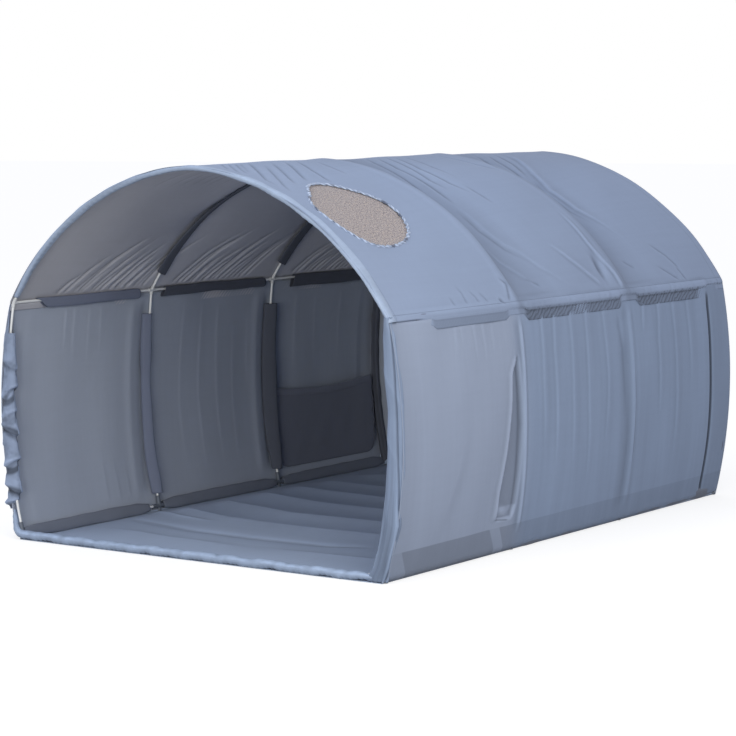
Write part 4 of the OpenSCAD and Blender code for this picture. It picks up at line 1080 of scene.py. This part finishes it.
def makeSideSleeve(name, side, spec, seed):  # lies half against the wall and half on the ground
    first, last = spec
    n = 130
    y = np.linspace(first, last, n)
    middle = np.minimum(sideSleeve["x"], wallX(y, 0.030) - sideSleeve["inside"])  # just clear of the wall
    path = np.stack([middle * side, y, sideSleeve["z"] + ripple(y, 0 * y, seed, 0.25) * 0.0010], axis=-1)
    tilt = sideSleeve["tilt"]
    up = allAlong([math.sin(tilt) * side, 0.0, math.cos(tilt)], n)
    inward = allAlong([-math.cos(tilt) * side, 0.0, math.sin(tilt)], n)
    high = spread([(0, 0.012), (0.10, 0.0190), (0.5, 0.0205), (0.92, 0.0200), (1, 0.013)], n)
    deep = spread([(0, 0.0070), (0.15, 0.0080), (0.92, 0.0080), (1, 0.0065)], n)
    lumps = lambda phi, t: ripple(phi * 0.015, t, seed + 1, 0.14) * 0.0012
    tubePiece(name, path, up, inward, high, deep, "sideSleeve", ["side_sleeves"], bumps=lumps, power=0.85)


for side, word in ((1, "Right"), (-1, "Left")):
    for k, bay in enumerate(eaveSleeves):
        makeEaveSleeve(f"eaveSleeve{word}{bay}", side, eaveSleeves[bay], 60 + k + 10 * side)
        makeSideSleeve(f"sideSleeve{word}{bay}", side, sideSleeves[bay], 80 + k + 10 * side)
print("arch, eave and side sleeves made")


# post sleeves: slim inside the middle hoops, loose round the end hoops
middleSleeves = {
    1: {"from": 0.062, "to": 0.671, "out": 0.003, "ahead": 0.009, "flat": 0.61,
        "half": [(0, 0.017), (0.10, 0.0205), (0.28, 0.0180), (0.52, 0.0165), (0.78, 0.0170), (0.97, 0.0180),
                 (1, 0.0180)]},
    2: {"from": 0.066, "to": 0.662, "out": 0.001, "ahead": 0.000, "flat": 0.61,
        "half": [(0, 0.017), (0.15, 0.0245), (0.42, 0.0265), (0.78, 0.0245), (1, 0.0225)]},
}


def makeMiddleSleeve(hoop, side, name):
    spec = middleSleeves[hoop]
    left = side < 0
    n = 120
    z = np.linspace(spec["from"], spec["to"], n)
    seed = 100 + hoop * 2 + side
    settle = smooth(0.05, 0.22, z)
    out = (spec["out"] if left else -0.003) * settle + ripple(z, 0 * z, seed, 0.3) * 0.0008
    x = (postPoint(hoopBow[hoop], z) + out) * side
    path = np.stack([x, hoopY[hoop] - (spec["ahead"] if left else 0.0) * settle, z], axis=-1)
    lean = 0.66 if left else 0.15  # the flat of the sleeve stands askew to the wall
    wide = allAlong([lean * side, -math.sqrt(1 - lean ** 2), 0.0], n)
    deep = allAlong([math.sqrt(1 - lean ** 2) * side, lean, 0.0], n)
    half = spread(spec["half"], n)
    lumps = lambda phi, t: ripple(phi * 0.02, t, seed, 0.14) * 0.0010
    # painted shade: the third post's sleeves take the darker copy of the sleeve cloth
    colour = "sleeveDark" if hoop == 1 else "sleeveDeep"
    tubePiece(name, path, wide, deep, half, np.full(n, 0.0085), colour, ["post_sleeves"], bumps=lumps,
              power=0.8)


for hoop, word in ((1, "Second"), (2, "Third")):
    makeMiddleSleeve(hoop, 1, f"postSleeve{word}Right")
    makeMiddleSleeve(hoop, -1, f"postSleeve{word}Left")


def creased(p, period):  # folds with sharp crests
    return 1 - 2 * np.abs(np.sin(p * math.pi / period)) ** 0.75


def makeFrontLeft():
    n = 230
    z = np.linspace(frontLeft["from"], frontLeft["to"], n)
    outer, inner = np.interp(z, *zip(*frontLeft["outer"])), np.interp(z, *zip(*frontLeft["inner"]))
    path = np.stack([(outer + inner) / 2, np.full(n, frontLeft["y"]), z], axis=-1)
    wide, deep = allAlong([1.0, 0.0, 0.0], n), allAlong([0.0, 1.0, 0.0], n)

    def cut(phi):  # the inner side stops below the bare tube, the outer side runs up to the eave
        inward = smooth(-0.45, 0.25, np.cos(phi))
        return 0.030 * inward, 1 - 0.150 * inward

    def bumps(phi, t):  # each fold slides down over the one below it, on a slant
        total = ripple(phi * 0.03, t, 12, 0.09) * 0.0010
        for foot, size, slant in frontLeft["laps"]:
            rise = t + frontLeft["from"] - foot - slant * np.cos(phi)
            lap = smooth(-0.007, 0.003, rise) * np.exp(-np.maximum(rise, 0) / 0.030)
            total = total + size * (lap - 0.4 * np.exp(-((rise + 0.014) / 0.010) ** 2))
        return total

    depths = spread([(0, 0.008), (0.06, 0.012), (0.5, 0.0145), (0.85, 0.0130), (1, 0.009)], n)
    tubePiece("postSleeveFrontLeft", path, wide, deep, (inner - outer) / 2, depths, "crumple", ["post_sleeves"],
              cut=cut, bumps=bumps, power=0.9, turns=72, inner="wallIn")


frontRight = {  # inner edge at each height; the outer edge lies on the wall's front edge, the seam between them
    "from": 0.004, "to": 0.760, "y": -1.0005, "flat": (0.124, 0.75),
    "inner": [(0.004, 0.636), (0.02, 0.642), (0.044, 0.658), (0.09, 0.673), (0.133, 0.686), (0.22, 0.700),
              (0.307, 0.707), (0.393, 0.713), (0.495, 0.713), (0.607, 0.703), (0.70, 0.697), (0.752, 0.703)],
    "seam": [(0.004, 0.702), (0.044, 0.722), (0.169, 0.757), (0.30, 0.755), (0.475, 0.750), (0.60, 0.742),
             (0.722, 0.730), (0.752, 0.728)],
}


def makeFrontRight():
    n = 240
    z = np.linspace(frontRight["from"], frontRight["to"], n)
    inner, seam = np.interp(z, *zip(*frontRight["inner"])), np.interp(z, *zip(*frontRight["seam"]))
    outer = np.maximum(wallX(-1.0, np.clip(z, wallLow, wallHigh)) + 0.0022, seam + 0.002)
    middle, half = (inner + outer) / 2, (outer - inner) / 2
    path = np.stack([middle, np.full(n, frontRight["y"]), z], axis=-1)
    wide, deep = allAlong([1.0, 0.0, 0.0], n), allAlong([0.0, 1.0, 0.0], n)

    def bumps(phi, t):  # long upright pleats that gather towards the foot, and the seam's groove
        level = np.clip(t + frontRight["from"], 0, 0.752)
        low = 1 - smooth(0.08, 0.42, level)
        pleat = creased(np.cos(phi) * 0.030 + level * 0.02, 0.021)
        place = np.interp(level, z, middle) + np.cos(phi) * np.interp(level, z, half)
        groove = np.exp(-((place - np.interp(level, z, seam)) / 0.0032) ** 2)
        slack = creased(level + np.cos(phi) * 0.05, 0.19) * 0.0014 * smooth(0.1, 0.3, level)
        return pleat * 0.0018 * low - groove * 0.0045 + slack + ripple(phi * 0.02, level * 0.7, 131, 0.12) * 0.0011

    depths = spread([(0, 0.012), (0.1, 0.0135), (0.6, 0.0125), (1, 0.0115)], n)
    tubePiece("postSleeveFrontRight", path, wide, deep, half, depths, "pleat", ["post_sleeves"],
              bumps=bumps, power=0.9, turns=88, inner="wallIn")


rearSleeve = {"from": 0.012, "to": 0.748, "y": 0.9965, "inside": 0.0185, "half": 0.0165, "flat": (0.088, 0.74)}


def makeRearSleeve(side, name):
    n = 160
    z = np.linspace(rearSleeve["from"], rearSleeve["to"], n)
    x = (wallX(1.0, np.clip(z, wallLow, wallHigh)) - rearSleeve["inside"]) * side
    path = np.stack([x, np.full(n, rearSleeve["y"]), z], axis=-1)
    wide, deep = allAlong([1.0, 0.0, 0.0], n), allAlong([0.0, 1.0, 0.0], n)

    def bumps(phi, t):
        return creased(np.cos(phi) * 0.03 + t * 0.03, 0.033) * 0.0014 + ripple(phi * 0.02, t, 141 + side, 0.12) * 0.0011

    depths = spread([(0, 0.0105), (0.1, 0.0115), (0.6, 0.0115), (1, 0.0105)], n)
    tubePiece(name, path, wide, deep, np.full(n, rearSleeve["half"]), depths, "sleeveDeep", ["post_sleeves"],
              bumps=bumps, power=0.9, turns=56, inner="wallIn")


makeFrontLeft()
makeFrontRight()
makeRearSleeve(1, "postSleeveRearRight")
makeRearSleeve(-1, "postSleeveRearLeft")


# sill sleeves: the hem roll across the front and the rear
sill = {
    # on the left it turns up round the post's foot, on the right it ends in the post sleeve
    "left": [(-0.7335, 0.092), (-0.7285, 0.064), (-0.7215, 0.040), (-0.7120, 0.022), (-0.6960, 0.0150)],
    "right": [(0.690, 0.0140)], "straight": 0.67, "height": 0.0150, "out": 0.0035, "n": 400, "flat": (0.078, 1.48),
}


def makeSill(hoop, name):
    n = sill["n"]
    face = -1.0 if hoop == 0 else 1.0
    level = [(x, sill["height"]) for x in np.linspace(-sill["straight"], sill["straight"], 40)]
    spots = np.array([(x, 0.0, z) for x, z in sill["left"] + level + sill["right"]])
    steps = np.concatenate([[0], np.cumsum(np.linalg.norm(np.diff(spots, axis=0), axis=1))])
    t = np.linspace(0, steps[-1], n)
    path = np.stack([np.interp(t, steps, spots[:, k]) for k in range(3)], axis=-1)
    for _ in range(12):
        path[1:-1] = (path[:-2] + path[1:-1] * 2 + path[2:]) / 4
    ends = smooth(0.0, 0.10, np.minimum(t, t[-1] - t))
    path[:, 1] = hoopY[hoop] + face * sill["out"] * ends
    path[:, 2] += ripple(path[:, 0], 0 * t, 151 + hoop, 0.09) * 0.0010 * ends
    run = np.gradient(path, axis=0)
    run /= np.linalg.norm(run, axis=1, keepdims=True)
    wide = allAlong([0.0, 1.0, 0.0], n)
    deep = np.cross(run, wide)

    def lumps(phi, u):
        gathers = np.maximum(np.sin(u * 2 * math.pi / 0.019 + np.sin(u * 40)), 0) * 0.0016
        return (ripple(phi * 0.012, u, 161 + hoop, 0.05) * 0.0013 + ripple(phi * 0.01, u, 165, 0.11) * 0.0008
                + gathers * smooth(0.2, 1.0, np.sin(phi) * face))

    tubePiece(name, path, wide, deep, 0.0065 + 0.0115 * ends, 0.0042 + 0.0086 * ends, "sill", ["sill_sleeves"],
              bumps=lumps, power=0.95, turns=36)


makeSill(0, "sillSleeveFront")
makeSill(3, "sillSleeveRear")
print("post and sill sleeves made")


# vent: mesh under the roof and a puckered binding round the hole
vent = {"rings": 26, "spokes": 160, "under": 0.0042, "margin": 0.010, "area": 0.113,
        "rimSteps": 700, "rimTurns": 12, "rimGirth": 0.016, "rimLength": 1.13, "rimFlat": 0.010}


def makeVent():
    rings, spokes = vent["rings"], vent["spokes"]
    r = np.linspace(0.0, 1.0, rings)[:, None]
    a = np.linspace(0, 2 * math.pi, spokes, endpoint=False)[None, :]
    edgeS, edgeY = ventEdge(a, vent["margin"])
    s = roof["ventS"] + (edgeS - roof["ventS"]) * r
    y = roof["ventY"] + (edgeY - roof["ventY"]) * r
    grid = roofSurface(s, y, -vent["under"])
    grid[..., 2] -= (1 - r ** 4) * (0.0015 + ripple(s, y, 171, 0.08) * 0.0008)
    piece = clothPiece("ventNet", np.swapaxes(grid, 0, 1), np.swapaxes(np.stack([s, y], -1), 0, 1), "mesh", "mesh",
                       0.0006, wrap=True)
    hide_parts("vent_mesh")

    n, turns = vent["rimSteps"], vent["rimTurns"]
    a = np.linspace(0, 2 * math.pi, n + 1)[None, :]
    phi = np.linspace(0, 2 * math.pi, turns, endpoint=False)[:, None]
    ragged = 1 + 0.35 * np.abs(np.sin(a * 37 + np.sin(a * 5) * 2)) + 0.20 * np.sin(a * 23)
    wander = 0.0011 * np.sin(a * 31) + 0.0010 * np.sin(a * 52 + 1)
    out = 0.0048 * (1 + 0.3 * np.sin(a * 48 + 1)) * np.cos(phi) + wander + 0.0012
    s, y = ventEdge(a + 0 * phi, out)
    grid = roofSurface(s, y, 0.0004)
    lean = s / archR + slope
    grid = grid + np.stack([np.sin(lean), 0 * s, np.cos(lean)], axis=-1) * (0.0025 * ragged * np.sin(phi))[..., None]
    coords = np.stack([phi / (2 * math.pi) * vent["rimGirth"] + 0 * a,
                       a / (2 * math.pi) * vent["rimLength"] + 0 * phi], axis=-1)
    rim = clothPiece("ventBinding", grid, coords, "binding", "binding", 0, wrap=True)
    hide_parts("vent_rim")


makeVent()


# patch pocket on the left wall
pocket = {
    "y0": 0.3642, "y1": 0.9692, "z0": 0.0615, "high": 0.290, "x": -0.7164, "lean": math.radians(4.0), "corner": 0.060,
    "belly": 0.0035, "slack": 0.018, "middle": 0.667, "gussetTop": 0.03, "puff": 0.0022, "pleat": 0.042,
    "leafFlat": (0.62, 0.29), "leafArea": 0.17, "hemGirth": 0.055, "hemFlat": (0.056, 0.60),
    "gussetFlat": (0.0105, 1.10),
}


def makePocket():
    y, h = lattice(pocket["y0"], pocket["y1"], 0.0055, 0.0, 1.0, 0.02)
    share = (y - pocket["y0"]) / (pocket["y1"] - pocket["y0"])
    top = pocket["high"] - pocket["slack"] * np.sin(math.pi * share)
    near = np.minimum(y - pocket["y0"], pocket["y1"] - y)
    corner = pocket["corner"]
    low = np.where(near < corner, corner - np.sqrt(np.maximum(corner ** 2 - (corner - near) ** 2, 0)), 0)
    high = low + (top - low) * h
    wave = 0.004 * np.sin(high * 2 * math.pi / pocket["pleat"]) * smooth(0.5, 0.58, share) * smooth(0.9, 1.0, share)
    y = y + wave - 0.004 * smooth(0.9, 1.0, share)
    belly = pocket["belly"] * np.sin(math.pi * share) * smooth(0.4, 1.0, h) + ripple(y, high, 181, 0.12) * 0.0008
    x = pocket["x"] - high * math.sin(pocket["lean"]) + belly
    grid = np.stack([x, y, pocket["z0"] + high * math.cos(pocket["lean"])], axis=-1)
    leaf = clothPiece("pocketLeaf", grid, np.stack([y, high], -1), "pocket", "pocket", 0.0012, body="pocket")
    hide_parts("pocket_front")

    n = 120
    yy = np.linspace(pocket["y0"] + 0.003, pocket["y1"] - 0.006, n)
    share = (yy - pocket["y0"]) / (pocket["y1"] - pocket["y0"])
    top = pocket["high"] - pocket["slack"] * np.sin(math.pi * share) - 0.011
    x = pocket["x"] - top * math.sin(pocket["lean"]) + pocket["belly"] * np.sin(math.pi * share)
    path = np.stack([x, yy, pocket["z0"] + top * math.cos(pocket["lean"])], axis=-1)
    up = allAlong([-math.sin(pocket["lean"]), 0, math.cos(pocket["lean"])], n)
    inward = allAlong([math.cos(pocket["lean"]), 0, math.sin(pocket["lean"])], n)

    def gather(phi, t):
        return np.sin(t * 2 * math.pi / 0.013 + np.sin(t * 60)) * 0.0005 + ripple(phi * 0.01, t, 191, 0.06) * 0.0003

    makeHem(path, up, inward, np.full(n, 0.0125), np.full(n, 0.0030), gather, 24)


def makeHem(path, wide, deep, widths, depths, bumps, turns):  # the casing along the pocket's mouth
    phi = np.linspace(0, 2 * math.pi, turns, endpoint=False)[:, None]
    steps = np.concatenate([[0], np.cumsum(np.linalg.norm(np.diff(path, axis=0), axis=1))])
    a, b = np.cos(phi) * widths, np.sin(phi) * depths
    grid = path[None] + wide[None] * a[..., None] + deep[None] * b[..., None]
    grid = grid + normalsOf(grid, True) * bumps(phi + 0 * a, steps + 0 * a)[..., None]
    coords = np.stack([phi / (2 * math.pi) * pocket["hemGirth"] + 0 * a, steps + 0 * a], axis=-1)
    piece = clothPiece("pocketHem", grid, coords, "pocket", "pocket", 0.0006, wrap=True, body="pocket")
    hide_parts("pocket_hem")


def makeGusset():
    # a strip down one side, under the leaf and up the other:
    # its outer edge stays on the wall, its inner edge goes with the leaf
    corner = pocket["corner"]
    reach = pocket["high"] - pocket["gussetTop"]
    turnsAt = np.linspace(0, math.pi / 2, 14)
    left = [(pocket["y0"], h) for h in np.linspace(reach, corner, 16)]
    left += [(pocket["y0"] + corner * (1 - math.cos(t)), corner * (1 - math.sin(t))) for t in turnsAt[1:]]
    right = [(pocket["y0"] + pocket["y1"] - y, h) for y, h in reversed(left)]
    line = np.array(left + [(y, 0.0) for y in np.linspace(left[-1][0], right[0][0], 40)[1:-1]] + right)
    share = np.linspace(0, 1, 9)
    y, h = line[:, 0][None, :] + 0 * share[:, None], line[:, 1][None, :] + 0 * share[:, None]
    leafX = pocket["x"] - h * math.sin(pocket["lean"]) - 0.0006
    z = pocket["z0"] + h * math.cos(pocket["lean"])
    wallIn = -(wallX(y, z) + wallOffset(-1, y, z)) + 0.0014
    k = share[:, None]
    x = leafX * (1 - k) + wallIn * k
    puff = np.sin(math.pi * k) * pocket["puff"] * np.sin(h * 2 * math.pi / pocket["pleat"])
    outward = np.where(y < pocket["middle"], -1.0, 1.0) * (np.abs(y - pocket["middle"]) > 0.24)
    grid = np.stack([x, y + puff * outward, z - 0.0008 * np.sin(math.pi * k)], axis=-1)
    steps = np.cumsum(np.concatenate([[0], np.linalg.norm(np.diff(line, axis=0), axis=1)]))
    coords = np.stack([k * 0.03 + 0 * y, steps[None, :] + 0 * k], -1)
    piece = clothPiece("pocketGusset", grid, coords, "pocket", "pocket", 0.0, body=None)
    work = bmesh.new()
    work.from_mesh(piece.data)
    bmesh.ops.solidify(work, geom=work.faces[:], thickness=0.0009)
    work.to_mesh(piece.data)
    work.free()
    for polygon in piece.data.polygons:
        polygon.use_smooth = True
    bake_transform(piece)
    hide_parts("pocket_gusset")


makePocket()
makeGusset()
print("vent and pocket made")


# the tubes and mouldings keep their own shapes and take a better finish
for name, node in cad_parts.items():
    if node.hide_render:
        continue
    kind = next((word for word in ("ferrule", "joint", "socket") if word in name), "pole")
    node.data.materials.clear()
    node.data.materials.append(finishes[kind])
    for polygon in node.data.polygons:
        polygon.use_smooth = True
print("tubes and mouldings finished")


# stage
stage = {"half": 60, "below": 0.0006, "lift": 0.69, "floor": 0.45, "world": 0.70, "air": (0.91, 0.93, 1.0)}


def makeStage():
    paper = Finish("paleFloor")
    ray = paper.add("ShaderNodeLightPath", {})
    seen = ray.most(ray.other("Is Glossy Ray")).most(ray.other("Is Transmission Ray"))
    matt = paper.add("ShaderNodeBsdfDiffuse", {}, {"Color": (stage["floor"],) * 3})
    glow = paper.add("ShaderNodeEmission", {}, {"Color": (1, 1, 1), "Strength": seen * stage["lift"]})
    paper.show(paper.add("ShaderNodeAddShader", {}, {0: matt, 1: glow}))
    mesh = bpy.data.meshes.new("studioFloor")
    half, z = stage["half"], -stage["below"]
    mesh.from_pydata([(-half, -half, z), (half, -half, z), (half, half, z), (-half, half, z)], [], [(0, 1, 2, 3)])
    mesh.materials.append(paper.material)
    floor = bpy.data.objects.new("studioFloor", mesh)
    scene.collection.objects.link(floor)
    world = bpy.data.worlds.new("studioAir")
    scene.world = world
    air = Finish("studioAir", world, "ShaderNodeOutputWorld")
    toCamera = air.add("ShaderNodeLightPath", {})
    soft = air.add("ShaderNodeBackground", {}, {"Color": stage["air"], "Strength": stage["world"]})
    white = air.add("ShaderNodeBackground", {}, {"Color": (1, 1, 1), "Strength": 1.0})
    air.show(air.add("ShaderNodeMixShader", {}, {0: toCamera, 1: soft, 2: white}))


lamps = {
    "key": {"at": (2.35, -2.1, 1.75), "to": (0.6, -0.6, 0.5), "size": 1.1, "power": 24, "tint": (1.0, 0.96, 0.86)},
    "low": {"at": (4.2, -11.0, 1.3), "to": (-0.2, -0.2, 0.6), "size": 4.0, "power": 400, "tint": (1.0, 0.96, 0.84)},
    "top": {"at": (-0.8, -1.6, 4.4), "to": (0.0, -0.1, 0.6), "size": 2.4, "power": 36, "tint": (0.84, 0.93, 1.0)},
}


def makeLamps():
    for name, spec in lamps.items():
        lamp = bpy.data.lights.new(name + "Lamp", "AREA")
        lamp.size, lamp.energy, lamp.color = spec["size"], spec["power"], spec["tint"]
        holder = bpy.data.objects.new(name + "Lamp", lamp)
        scene.collection.objects.link(holder)
        holder.location = spec["at"]
        holder.rotation_mode = "QUATERNION"
        holder.rotation_quaternion = (Vector(spec["to"]) - Vector(spec["at"])).to_track_quat("-Z", "Y")


lens = {"at": (4.6776, -6.6787, 1.3042), "azimuth": 35.377, "elevation": 5.667, "roll": -0.43, "focal": 120.94}


def makeCamera():
    data = bpy.data.cameras.new("studioCamera")
    data.lens, data.sensor_width = lens["focal"], 36.0
    holder = bpy.data.objects.new("studioCamera", data)
    scene.collection.objects.link(holder)
    turn, tilt = math.radians(lens["azimuth"]), math.radians(lens["elevation"])
    back = Vector((math.sin(turn) * math.cos(tilt), -math.cos(turn) * math.cos(tilt), math.sin(tilt)))
    holder.location = lens["at"]
    holder.rotation_mode = "QUATERNION"
    holder.rotation_quaternion = Quaternion(back, math.radians(lens["roll"])) @ (-back).to_track_quat("-Z", "Y")
    scene.camera = holder


makeStage()
makeLamps()
makeCamera()
print("scene ready")
